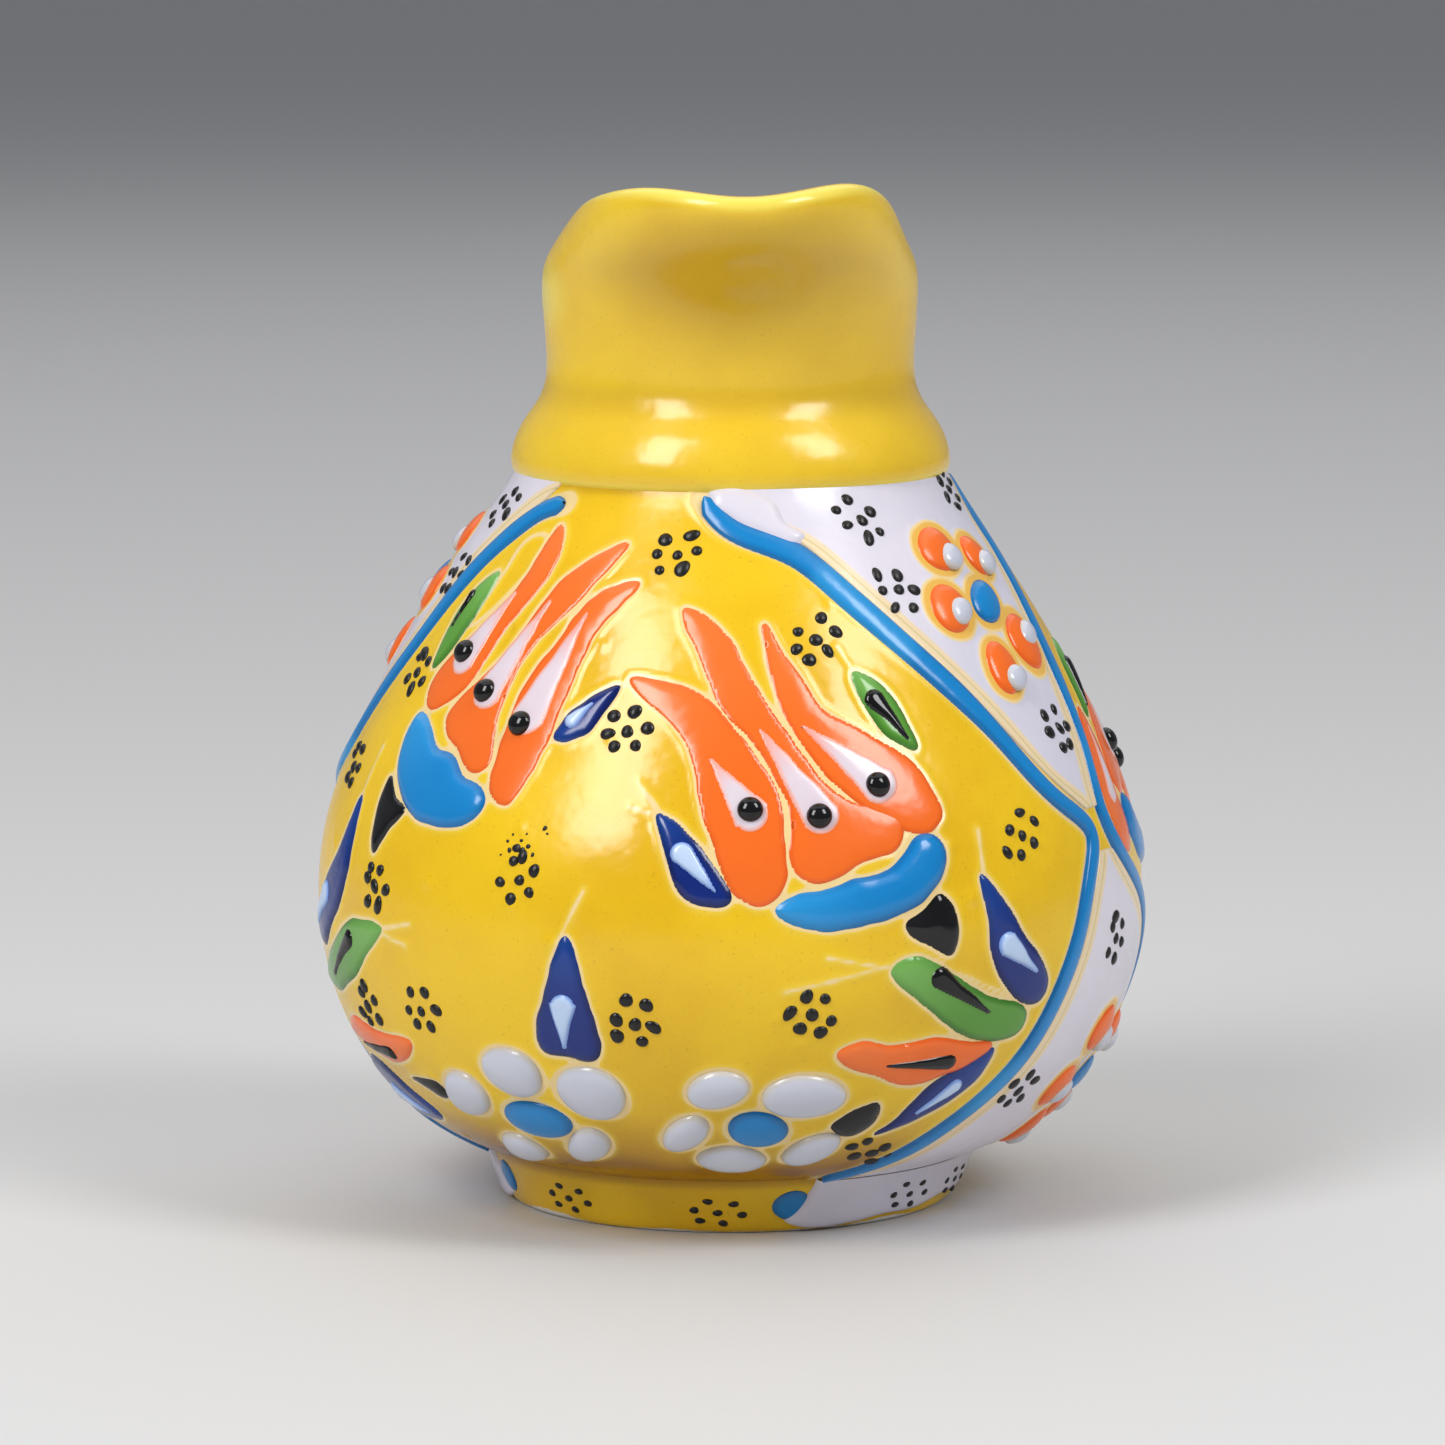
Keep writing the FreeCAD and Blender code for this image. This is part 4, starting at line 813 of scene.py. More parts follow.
def trail(sheet: Sheet, mark: Mark, relief: Relief, **fields: Number) -> None:
    """Lay a mark as a grid of small faces, cropped and drawn in to the mark's edge.

    Grid points within half a cell of the edge move onto it along the distance's gradient, so
    that the edge is smooth, and cells beyond the skirt are left out.

    Args:
        sheet: the sheet that the surface is added to.
        mark: the mark to lay.
        relief: its thickness and grid spacing.
        fields: functions of (across, up, gap) that give the points' named numbers.
    """
    spacing = relief.spacing
    reach = [half + relief.skirt + 2 * spacing for half in mark.half]
    columns = int(2 * reach[0] / spacing) + 2
    rows = int(2 * reach[1] / spacing) + 2
    across, up = np.meshgrid(np.linspace(-reach[0], reach[0], columns),
                             np.linspace(-reach[1], reach[1], rows))
    gap = mark.distance(across, up)
    steps = (2 * reach[1] / (rows - 1), 2 * reach[0] / (columns - 1))
    slope_up, slope_across = np.gradient(gap, *steps)
    size = np.maximum(np.hypot(slope_up, slope_across), LEAST_SLOPE) ** 2
    pull = np.where(np.abs(gap) < SNAP_SHARE * spacing, gap / size, 0.0)
    across = across - pull * slope_across
    up = up - pull * slope_up
    gap = np.where(pull != 0.0, 0.0, gap).ravel()
    quads = grid_quads(rows, columns)
    quads = quads[gap[quads].min(axis=1) < KEPT_GAP]
    used, quads = np.unique(quads, return_inverse=True)
    quads = quads.reshape(-1, 4)
    across, up, gap = across.ravel()[used], up.ravel()[used], gap[used]
    turn, rise = mark.real(across, up)
    if mark.place.mirror is not None:
        quads = quads[:, ::-1]
    numbers = {name: value(across, up, gap) for name, value in fields.items()}
    sheet.add(BELLY.points(turn, rise, relief.lift(gap)), quads, **numbers)


DOME_SKIRT = 0.2
DOME_POLE = 0.004
LEAST_SWING = 0.3
THIRD_WAVE = 0.6


def domes(sheet: Sheet, profile: Profile, spots: Array, base: float, height: float,
          rings: int, columns: int, uneven: float, place: Place | None = None) -> None:
    """Lay round or oval domes: each is a half ellipsoid over polar rings, with a sunk skirt.

    Args:
        sheet: the sheet that the domes are added to.
        profile: the surface that they lie on.
        spots: rows of (turn, rise, half width, half height, tilt in degrees), turns as drawn.
        base: height that the domes start from.
        height: height of each dome's top above base.
        rings: rings from the middle to the edge.
        columns: points in each ring.
        uneven: how far a dome's outline strays from an oval, as a share of its size.
        place: the place whose mirror turns the drawn turns into real ones.
    """
    random = np.random.default_rng(len(spots) * 7 + rings)
    phase = random.uniform(0.0, 2 * math.pi, (len(spots), 2, 1, 1))
    swing = random.uniform(LEAST_SWING, 1.0, (len(spots), 1, 1)) * uneven
    share = np.append(np.sin(np.linspace(DOME_POLE, math.pi / 2, rings)), 1.0)[None, :, None]
    angle = np.linspace(0.0, 2 * math.pi, columns, endpoint=False)[None, None, :]
    waves = np.sin(2 * angle + phase[:, 0]) + THIRD_WAVE * np.sin(3 * angle + phase[:, 1])
    stray = 1 + swing * waves
    turn, rise, wide, tall, tilt = (spots[:, k][:, None, None] for k in range(5))
    tilt = np.radians(tilt)
    first = share * stray * wide * np.cos(angle)
    second = share * stray * tall * np.sin(angle)
    across = first * np.cos(tilt) - second * np.sin(tilt)
    up = first * np.sin(tilt) + second * np.cos(tilt) + np.zeros_like(across)
    height_rise = rise + up
    real = turn + np.degrees(across / profile.radius(height_rise))
    lift = base + height * np.sqrt(np.clip(1 - share ** 2, 0.0, 1.0)) * np.ones_like(across)
    lift[:, -1] = base - DOME_SKIRT
    quads = grid_quads(rings + 1, columns, True)
    if place is not None and place.mirror is not None:
        real = place.swap(real)
    else:
        quads = quads[:, ::-1]
    stride = (rings + 1) * columns
    every = (quads[None] + np.arange(len(spots))[:, None, None] * stride).reshape(-1, 4)
    gap = (share - 1) * np.minimum(wide, tall) * np.ones_like(across)
    sheet.add(profile.points(real, height_rise, lift), every, gap=gap, tip=0.0 * gap)


def bulge(points: Array, reach: int) -> Array:
    """Mean curvature of a grid of points whose columns join up, positive where it bulges out.

    It is the grid's second differences, divided by the squared steps, along the normal.

    Args:
        points: rows of columns of points.
        reach: how many points away the differences are taken.

    Returns:
        One curvature for each point, in 1/mm.
    """
    side = np.roll(points, -reach, 1)
    other = np.roll(points, reach, 1)
    rows = np.arange(len(points))
    above = points[np.minimum(rows + reach, len(points) - 1)]
    below = points[np.maximum(rows - reach, 0)]
    normal = np.cross(side - other, above - below)
    normal /= np.maximum(np.linalg.norm(normal, axis=-1, keepdims=True), TINY)
    round_it = (side + other - 2 * points) / np.maximum(
        ((side - points) ** 2).sum(-1, keepdims=True), 1e-6)
    along_it = (above + below - 2 * points) / np.maximum(
        (((above - below) / 2) ** 2).sum(-1, keepdims=True), 1e-6)
    return -((round_it + along_it) * normal).sum(-1) / 2


# --- finishes -----------------------------------------------------------------------------------

class Slot(Enum):
    """Material slots of the part's record."""

    YELLOW = "yellow_glaze"
    WHITE = "white_glaze"
    TURQUOISE = "turquoise_enamel"
    ORANGE = "orange_enamel"
    PINK = "pale_pink_enamel"
    BLACK = "black_enamel"
    NAVY = "navy_enamel"
    GREEN = "green_enamel"
    SKY = "sky_blue_enamel"
    CHALK = "white_enamel"


class Bench:
    """Short ways to build a shader tree."""

    def __init__(self, tree: bpy.types.NodeTree) -> None:
        """Keep the tree that nodes are added to."""
        self.tree = tree

    def add(self, kind: str, inputs: dict | None = None, **settings: object) -> bpy.types.Node:
        """Add a node.

        Args:
            kind: the node's type.
            inputs: values or sockets for its inputs, by name or number.
            settings: its own settings.

        Returns:
            The new node.
        """
        node = self.tree.nodes.new(kind)
        for name, value in settings.items():
            setattr(node, name, value)
        for key, value in (inputs or {}).items():
            if isinstance(value, bpy.types.NodeSocket):
                self.tree.links.new(value, node.inputs[key])
            else:
                node.inputs[key].default_value = value
        return node

    def number(self, name: str) -> bpy.types.NodeSocket:
        """A number that the mesh's points carry."""
        return self.add("ShaderNodeAttribute", attribute_name=name).outputs["Fac"]

    def math(self, operation: str, first: object, second: object = 0.0) -> bpy.types.NodeSocket:
        """One arithmetic step on two numbers or sockets."""
        return self.add("ShaderNodeMath", {0: first, 1: second}, operation=operation).outputs[0]

    def step(self, value: object, low: float, high: float) -> bpy.types.NodeSocket:
        """Smooth step from 0 at low to 1 at high."""
        node = self.add("ShaderNodeMapRange", {0: value, 1: low, 2: high},
                        interpolation_type="SMOOTHSTEP")
        return node.outputs[0]

    def below(self, value: object, low: float, high: float) -> bpy.types.NodeSocket:
        """Smooth step from 1 at low to 0 at high."""
        return self.math("SUBTRACT", 1.0, self.step(value, low, high))

    def mix(self, share: object, first: object, second: object) -> bpy.types.NodeSocket:
        """Mix of two colours, each a colour or a socket."""
        pair = [(*part, 1.0) if isinstance(part, tuple) else part for part in (first, second)]
        node = self.add("ShaderNodeMix", {0: share, 6: pair[0], 7: pair[1]}, data_type="RGBA")
        return node.outputs[2]


def glaze_body() -> bpy.types.NodeTree:
    """Node group of what every glaze here shares: drifting tone, fine specks and orange peel."""
    name = "glaze_body"
    if name in bpy.data.node_groups:
        return bpy.data.node_groups[name]
    tree = bpy.data.node_groups.new(name, "ShaderNodeTree")
    for label, value in (("Drift Scale", 45.0), ("Speck Scale", 2600.0), ("Peel Scale", 420.0)):
        tree.interface.new_socket(label, in_out="INPUT", socket_type="NodeSocketFloat")
        tree.interface.items_tree[label].default_value = value
    for label in ("Drift", "Specks", "Peel"):
        tree.interface.new_socket(label, in_out="OUTPUT", socket_type="NodeSocketFloat")
    bench = Bench(tree)
    given = bench.add("NodeGroupInput").outputs
    where = bench.add("ShaderNodeTexCoord").outputs["Object"]
    drift, specks, peel = (
        bench.add("ShaderNodeTexNoise", {"Vector": where, "Scale": given[label],
                                         "Detail": detail}).outputs[0]
        for label, detail in (("Drift Scale", 3.0), ("Speck Scale", 2.0), ("Peel Scale", 1.5)))
    bench.add("NodeGroupOutput", {"Drift": bench.step(drift, 0.3, 0.7), "Specks": specks,
                                  "Peel": peel})
    return tree


@dataclass(frozen=True)
class Gloss:
    """How a fired surface shines: its roughness, the depth of its orange peel and its coat."""

    low: float = 0.16
    high: float = 0.26
    peel: float = 0.0002
    strength: float = 0.35
    coat: float = 0.06
    coat_roughness: float = 0.05
    index: float = 1.48
    clay_roughness: float = 0.8


def fired(bench: Bench, colour: object, group: bpy.types.Node, gloss: Gloss,
          dull: object = None) -> bpy.types.Node:
    """Principled shader of a fired surface.

    Args:
        bench: the material's tree.
        colour: its base colour.
        group: the glaze_body node, whose drift sets the roughness and whose peel sets the bump.
        gloss: how the surface shines.
        dull: mask of bare clay, where the glaze's shine is missing.

    Returns:
        The shader node.
    """
    spread = bench.math("MULTIPLY", group.outputs["Drift"], gloss.high - gloss.low)
    rough = bench.math("ADD", spread, gloss.low)
    if dull is not None:
        rough = bench.math("MAXIMUM", rough, bench.math("MULTIPLY", dull,
                                                    gloss.clay_roughness))
    bump = bench.add("ShaderNodeBump", {"Height": group.outputs["Peel"],
                                        "Strength": gloss.strength, "Distance": gloss.peel})
    shader = bench.add("ShaderNodeBsdfPrincipled",
                       {"Base Color": colour, "Roughness": rough, "Normal": bump.outputs[0]})
    shader.inputs["IOR"].default_value = gloss.index
    shader.inputs["Coat Weight"].default_value = gloss.coat
    shader.inputs["Coat Roughness"].default_value = gloss.coat_roughness
    return shader


class Finish:
    """A glaze or enamel: its slot in the record and its material, made once."""

    def __init__(self, name: str, slot: Slot) -> None:
        """Keep the material's name and the record's slot."""
        self.name = name
        self.slot = slot
        self.made: bpy.types.Material | None = None

    def colour(self, bench: Bench, group: bpy.types.Node) -> tuple[object, object]:
        """Base colour socket, and the mask of bare clay or None."""
        raise NotImplementedError

    def gloss(self) -> Gloss:
        """How this finish shines."""
        return Gloss()

    def material(self) -> bpy.types.Material:
        """The finish's material, built on its first use."""
        if self.made is None:
            self.made = bpy.data.materials.new(self.name)
            self.made.use_nodes = True
            tree = self.made.node_tree
            tree.nodes.clear()
            bench = Bench(tree)
            group = bench.add("ShaderNodeGroup", node_tree=glaze_body())
            colour, dull = self.colour(bench, group)
            shader = fired(bench, colour, group, self.gloss(), dull)
            bench.add("ShaderNodeOutputMaterial", {"Surface": shader.outputs[0]})
        return self.made


CREAM: Colour = (0.88, 0.66, 0.30)
CLAY: Colour = (0.78, 0.73, 0.66)


class YellowGlaze(Finish):
    """Clear glaze over yellow slip: amber where it pools and where shade is painted, pale where it is thin.

    The points carry slip, the distance to the nearest enamel, which is edged with cream; pool,
    1 where glaze gathers, which also carries painted shade over the lower belly and under the
    pouring lip; thin, 1 on sharp edges; and bare, 1 where no glaze was put.
    """

    DEEP: Colour = (0.76, 0.44, 0.003)
    WARM: Colour = (0.88, 0.56, 0.006)
    # Amber of specks and pooled glaze, also used as painted shade on the lower belly and under the lip.
    AMBER: Colour = (0.33, 0.135, 0.002)
    PALE: Colour = (0.90, 0.73, 0.11)
    HALO = 0.38
    GLOW = 0.8
    GLOW_SHARE = 0.3
    LINE = (-0.14, 0.16)
    SPECKS = (0.62, 0.78)
    SPECK_SHARE = 0.34
    BARE = (0.45, 0.55)

    def colour(self, bench: Bench, group: bpy.types.Node) -> tuple[object, object]:
        """Yellow with drift, specks, pools and painted shade, thin edges, cream lines, bare clay."""
        tone = bench.mix(group.outputs["Drift"], self.DEEP, self.WARM)
        specks = bench.step(group.outputs["Specks"], *self.SPECKS)
        tone = bench.mix(bench.math("MULTIPLY", specks, self.SPECK_SHARE), tone, self.AMBER)
        # Amber from the pool number: pooled glaze, and painted shade on the lower belly and under the lip.
        tone = bench.mix(bench.number("pool"), tone, self.AMBER)
        tone = bench.mix(bench.number("thin"), tone, self.PALE)
        slip = bench.number("slip")
        glow = bench.below(slip, self.HALO, self.HALO + self.GLOW)
        tone = bench.mix(bench.math("MULTIPLY", glow, self.GLOW_SHARE), tone, self.PALE)
        line = bench.below(slip, self.HALO + self.LINE[0], self.HALO + self.LINE[1])
        tone = bench.mix(line, tone, CREAM)
        bare = bench.number("bare")
        ragged = bench.math("ADD", bare, bench.math("SUBTRACT", group.outputs["Peel"], 0.5))
        mask = bench.math("MULTIPLY", bench.step(ragged, *self.BARE), bench.step(bare, 0.0, 0.2))
        return bench.mix(mask, tone, CLAY), mask


class WhiteGlaze(Finish):
    """Thick white glaze, with the slip that edges its borders and flowers.

    The points carry edge, the distance to the nearest border, and slip, the distance to the
    nearest flower petal.
    """

    WHITE: Colour = (0.74, 0.70, 0.78)
    COOL: Colour = (0.66, 0.64, 0.74)
    KHAKI: Colour = (0.60, 0.50, 0.20)
    GOLD: Colour = (0.86, 0.50, 0.09)
    SPECK: Colour = (0.45, 0.4, 0.45)
    SPECKS = (0.66, 0.82)
    SPECK_SHARE = 0.16
    CREAM_EDGE = (1.7, 2.1)
    CREAM_SHARE = 0.75
    KHAKI_START = (0.95, 1.12)
    KHAKI_END = (1.16, 1.36)
    KHAKI_SHARE = 0.7
    PETAL_CREAM = (0.85, 1.1)
    PETAL_GOLD = (0.45, 0.75)

    def colour(self, bench: Bench, group: bpy.types.Node) -> tuple[object, object]:
        """White that drifts; cream, khaki and cream lines by a border; gold round a petal."""
        tone = bench.mix(group.outputs["Drift"], self.COOL, self.WHITE)
        specks = bench.step(group.outputs["Specks"], *self.SPECKS)
        tone = bench.mix(bench.math("MULTIPLY", specks, self.SPECK_SHARE), tone, self.SPECK)
        edge = bench.number("edge")
        outer = bench.below(edge, *self.CREAM_EDGE)
        tone = bench.mix(bench.math("MULTIPLY", outer, self.CREAM_SHARE), tone, CREAM)
        khaki = bench.math("MULTIPLY", bench.step(edge, *self.KHAKI_START),
                           bench.below(edge, *self.KHAKI_END))
        tone = bench.mix(bench.math("MULTIPLY", khaki, self.KHAKI_SHARE), tone, self.KHAKI)
        slip = bench.number("slip")
        tone = bench.mix(bench.below(slip, *self.PETAL_CREAM), tone, CREAM)
        return bench.mix(bench.below(slip, *self.PETAL_GOLD), tone, self.GOLD), None


class Enamel(Finish):
    """Trailed enamel, deep at its edge, brighter in its body and paler towards its tip.

    The points carry gap, the signed distance from the edge, and tip, 1 at the mark's tip.
    """

    TIP = (0.4, 1.0)
    SPECKS = (0.6, 0.8)
    SPECK_SHARE = 0.12
    DRIFT_SHARE = 0.3
    MOST_DRIFT = 0.1

    def __init__(self, slot: Slot, edge: Colour, body: Colour, tip: Colour,
                 shine: Gloss = Gloss(), depth: float = 0.9, tip_share: float = 0.5,
                 name: str = "") -> None:
        """Keep the colours, the shine, the width of the deep edge and the tip's strength."""
        super().__init__(name or slot.value, slot)
        self.edge = edge
        self.body = body
        self.tip = tip
        self.shine = shine
        self.depth = depth
        self.tip_share = tip_share
        self.drift_share = min(self.DRIFT_SHARE * tip_share, self.MOST_DRIFT)

    def gloss(self) -> Gloss:
        """How this enamel shines."""
        return self.shine

    def colour(self, bench: Bench, group: bpy.types.Node) -> tuple[object, object]:
        """Edge colour, then body colour, then the tip's, each broken up by the drift."""
        inward = bench.math("MULTIPLY", bench.number("gap"), -1.0)
        tone = bench.mix(bench.step(inward, 0.0, self.depth), self.edge, self.body)
        tipward = bench.math("MULTIPLY", bench.step(bench.number("tip"), *self.TIP),
                             self.tip_share)
        drift = bench.math("MULTIPLY", group.outputs["Drift"], self.drift_share)
        share = bench.math("ADD", tipward, drift)
        tone = bench.mix(share, tone, self.tip)
        specks = bench.math("MULTIPLY", bench.step(group.outputs["Specks"], *self.SPECKS),
                            self.SPECK_SHARE)
        return bench.mix(specks, tone, self.edge), None


@dataclass
class Palette:
    """The finishes of the whole vase."""

    yellow: Finish = field(default_factory=lambda: YellowGlaze("yellow_glaze", Slot.YELLOW))
    white: Finish = field(default_factory=lambda: WhiteGlaze("white_glaze", Slot.WHITE))
    turquoise: Finish = field(default_factory=lambda: Enamel(
        Slot.TURQUOISE, (0.0, 0.13, 0.38), (0.001, 0.21, 0.55), (0.03, 0.34, 0.72)))
    orange: Finish = field(default_factory=lambda: Enamel(
        Slot.ORANGE, (0.82, 0.11, 0.006), (0.90, 0.15, 0.012), (0.93, 0.25, 0.06),
        depth=0.7, tip_share=0.3))
    pink: Finish = field(default_factory=lambda: Enamel(
        Slot.PINK, (0.90, 0.40, 0.30), (0.74, 0.65, 0.72), (0.90, 0.36, 0.28), depth=0.6,
        tip_share=0.8))
    black: Finish = field(default_factory=lambda: Enamel(
        Slot.BLACK, (0.002, 0.002, 0.002), (0.003, 0.003, 0.004), (0.012, 0.011, 0.015),
        Gloss(0.05, 0.12, strength=0.15, coat=0.0)))
    dots: Finish = field(default_factory=lambda: Enamel(
        Slot.BLACK, (0.003, 0.002, 0.002), (0.005, 0.004, 0.004), (0.012, 0.010, 0.012),
        Gloss(0.24, 0.42, strength=0.2, coat=0.0), name="matt_black_enamel"))
    navy: Finish = field(default_factory=lambda: Enamel(
        Slot.NAVY, (0.001, 0.006, 0.08), (0.001, 0.016, 0.17), (0.008, 0.07, 0.34)))
    green: Finish = field(default_factory=lambda: Enamel(
        Slot.GREEN, (0.04, 0.17, 0.015), (0.09, 0.29, 0.03), (0.24, 0.54, 0.13)))
    sky: Finish = field(default_factory=lambda: Enamel(
        Slot.SKY, (0.18, 0.32, 0.72), (0.52, 0.66, 0.88), (0.30, 0.46, 0.80), depth=0.45))
    chalk: Finish = field(default_factory=lambda: Enamel(
        Slot.CHALK, (0.56, 0.52, 0.46), (0.56, 0.58, 0.67), (0.66, 0.67, 0.74),
        Gloss(0.12, 0.3, coat=0.3), depth=0.5))


class Maker:
    """Turns sheets into dressed pieces that ride on the part's one body."""

    BODY = "root"

    def piece(self, sheet: Sheet, node: str, finish: Finish, part: str = "fired"
              ) -> bpy.types.Object:
        """Make the piece that stands for a CAD node.

        Args:
            sheet: its surfaces.
            node: the CAD node's name.
            finish: its glaze or enamel.
            part: the end of the piece's name.

        Returns:
            The new object.
        """
        name = f"{node}_{part}"
        mesh = sheet.mesh(name)
        mesh.materials.append(finish.material())
        made = bpy.data.objects.new(name, mesh)
        bpy.context.scene.collection.objects.link(made)
        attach(made, self.BODY)
        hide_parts(node)
        LOG.info("%s: %d faces", name, len(mesh.polygons))
        return made


# --- sub-assemblies -----------------------------------------------------------------------------

def lay(marks: list[Mark], relief: Relief) -> Sheet:
    """Sheet of several marks of one enamel, with their gap and tip numbers."""
    sheet = Sheet("gap", "tip")
    for mark in marks:
        trail(sheet, mark, relief, gap=lambda across, up, gap: gap,
              tip=lambda across, up, gap, mark=mark: mark.tipward(across, up))
    return sheet


def oval_rows(spots: list[tuple[float, ...]], place: Place) -> Array:
    """Rows for domes, from spots drawn as (across, rise, half width, half height, tilt)."""
    rows = np.array(spots, float)
    turn, rise = place.drawn(rows[:, 0], rows[:, 1])
    return np.column_stack([turn, rise, rows[:, 2:]])


@dataclass
class Vessel:
    """Foot ring, belly and neck: the three thrown sections."""

    maker: Maker
    palette: Palette
    marks: list[Mark]
    strokes: list[Mark]
    cell: Outline
    borders: list[Line]
    belly_rows: int = 220
    belly_columns: int = 400
    seam: float = -122.0
    inside_columns: int = 96
    neck_rows: int = 220
    neck_columns: int = 300
    ridge: float = 0.1
    slip_reach: float = 3.0
    crowd: float = 0.32
    collar_foot: tuple[Point, Point] = ((24.7, 85.2), (26.15, 85.9))
    pimple_count: int = 90
    pimple_height: float = 0.16
    foot_rows: int = 40
    foot_columns: int = 288
    bare_rise: float = 1.3
    # Amber over the lower belly: glaze pooled in the groove above the foot, and painted shade that darkens
    # the belly's lower part.
    belly_pool_and_shade: float = 1.25
    pool_and_shade_rises: Point = (1.0, 18.0)
    crease_depth: float = 2.0
    crease_pool: float = 0.35
    # Painted shade under the pouring lip, where the neck faces down.
    under_lip_shade: float = 0.45
    groove_pool: float = 0.5
    spot_turn: float = 84.0
    spot_height: float = 107.0
    spot_half: Point = (20.0, 4.0)

    # The pool number holds pooled glaze and painted shade.
    FIELDS = ("slip", "pool", "thin", "bare")

    def revolve(self, sheet: Sheet, poles: Array, columns: int, **numbers: float) -> None:
        """Turn a polyline round Z, with its left side as the outside.

        Args:
            sheet: the sheet that the surface is added to.
            poles: the polyline's (radius, height) rows.
            columns: points round Z.
            numbers: values of the sheet's named numbers.
        """
        angle = np.linspace(0.0, 2 * math.pi, columns, endpoint=False)[None, :]
        radius = np.maximum(poles[:, :1], 0.001)
        level = poles[:, 1:] + 0.0 * angle
        points = np.stack([radius * np.sin(angle), -radius * np.cos(angle), level], axis=-1)
        sheet.add(points.reshape(-1, 3), grid_quads(len(poles), columns, True), **numbers)

    def foot(self) -> None:
        """Foot ring: glazed outside, bare on the face that stands in the kiln."""
        sheet = Sheet(*self.FIELDS)
        rise, turn = np.meshgrid(np.linspace(0.0, FOOT.length, self.foot_rows),
                                 np.linspace(0.0, 360.0, self.foot_columns, endpoint=False),
                                 indexing="ij")
        ragged = self.bare_rise + 0.9 * ripple(np.sin(np.radians(turn)) * 26, np.cos(np.radians(turn)) * 26,
                                    13.0, 3)
        bare = 1 - ease(rise, ragged - 0.7, ragged + 0.4)
        pool = 0.75 * ease(rise, FOOT.length - 1.6, FOOT.length)
        sheet.add(FOOT.points(turn, rise), grid_quads(self.foot_rows, self.foot_columns, True),
                  slip=self.slip_reach, pool=pool, bare=bare)
        under = np.array([(FOOT_INNER_RADIUS, FOOT_HEIGHT),
                          (FOOT_INNER_RADIUS, FOOT_INNER_CHAMFER),
                          (FOOT_INNER_RADIUS + 0.12, 0.14),
                          (FOOT_INNER_RADIUS + FOOT_INNER_CHAMFER, 0.0),
                          FOOT_PROFILE[0]])
        self.revolve(sheet, under, self.foot_columns, slip=self.slip_reach, bare=1.0)
        self.maker.piece(sheet, "foot_ring", self.palette.yellow)

    def belly_half(self, node: str, first: float, inside: bool) -> None:
        """Half of the belly's outside, with ridges of slip round the enamel.

        Args:
            node: the end of the piece's name.
            first: turn of the half's first edge.
            inside: whether the hollow and the floor belong to this piece.
        """
        sheet = Sheet(*self.FIELDS)
        rise, turn = np.meshgrid(np.linspace(0.0, BELLY.length, self.belly_rows),
                                 np.linspace(first, first + 180.0, self.belly_columns),
                                 indexing="ij")
        flat_turn, flat_rise = turn.ravel(), rise.ravel()
        slip = slip_field(flat_turn, flat_rise, self.marks, self.slip_reach, self.crowd)
        for border in self.borders:
            slip = np.minimum(slip, border.distance(flat_turn, flat_rise, self.slip_reach))
        hair = slip_field(flat_turn, flat_rise, self.strokes, 1.0)
        slip = np.minimum(slip, hair + YellowGlaze.HALO - LEAST_SLIP)
        cell = slip_field(flat_turn, flat_rise, [self.cell], 1.0)
        slip = np.minimum(slip, np.abs(cell) + YellowGlaze.HALO - 0.3)
        raised = self.ridge * (1 - ease(slip, YellowGlaze.HALO - 0.1, YellowGlaze.HALO + 0.7))
        raised = raised * ease(slip, 0.0, 0.35)
        raised = raised + self.pimples(flat_turn, flat_rise) * ease(slip, 0.3, 0.8)
        # Painted shade: the pool number runs from the groove up over the lower belly, darkest at the
        # bottom, on top of the real glaze pooled in the groove.
        uneven = 1.2 * ripple(flat_turn * 0.7, flat_rise, 12.0, 9)
        pool = self.belly_pool_and_shade * (1 - ease(flat_rise + uneven, *self.pool_and_shade_rises))
        crease = (BELLY.length - self.crease_depth
                  + 0.3 * ripple(flat_turn * 0.45, flat_rise * 0, 11.0, 21))
        pool = pool + self.crease_pool * ease(flat_rise, crease - 0.7, crease + 0.5)
        sheet.add(BELLY.points(flat_turn, flat_rise, raised),
                  grid_quads(self.belly_rows, self.belly_columns), slip=slip,
                  pool=np.minimum(pool, 1.0))
        if inside:
            cavity = clamped_basis(len(CAVITY_PROFILE), np.linspace(0, 1, 60)) @ np.array(
                CAVITY_PROFILE)
            rim = np.vstack([np.array(BELLY_PROFILE[-1])[None], cavity])
            self.revolve(sheet, rim, self.inside_columns, slip=self.slip_reach, thin=0.3)
            under = np.array([(0.0, FOOT_HEIGHT), (12.0, FOOT_HEIGHT), (20.0, FOOT_HEIGHT),
                              FOOT_PROFILE[-1]])
            self.revolve(sheet, under, self.inside_columns, slip=self.slip_reach, bare=0.75)
        self.maker.piece(sheet, "belly_shell", self.palette.yellow, node)

    def pimples(self, turn: Array, rise: Array) -> Array:
        """Grit under the glaze: low bell-shaped bumps at scattered places.

        Args:
            turn: degrees, one for each place.
            rise: lengths along the profile, one for each place.

        Returns:
            Heights, one for each place.
        """
        random = np.random.default_rng(17)
        total = np.zeros(turn.shape)
        for _ in range(self.pimple_count):
            middle = random.uniform([0.0, 6.0], [360.0, BELLY.length - 6.0])
            size = random.uniform(0.5, 0.85)
            offset = (turn - middle[0] + 180.0) % 360.0 - 180.0
            across = np.radians(offset) * BELLY.radius(middle[1])
            near = (np.abs(across) < 3 * size) & (np.abs(rise - middle[1]) < 3 * size)
            gap = across[near] ** 2 + (rise[near] - middle[1]) ** 2
            total[near] += self.pimple_height * np.exp(-gap / size ** 2)
        return total

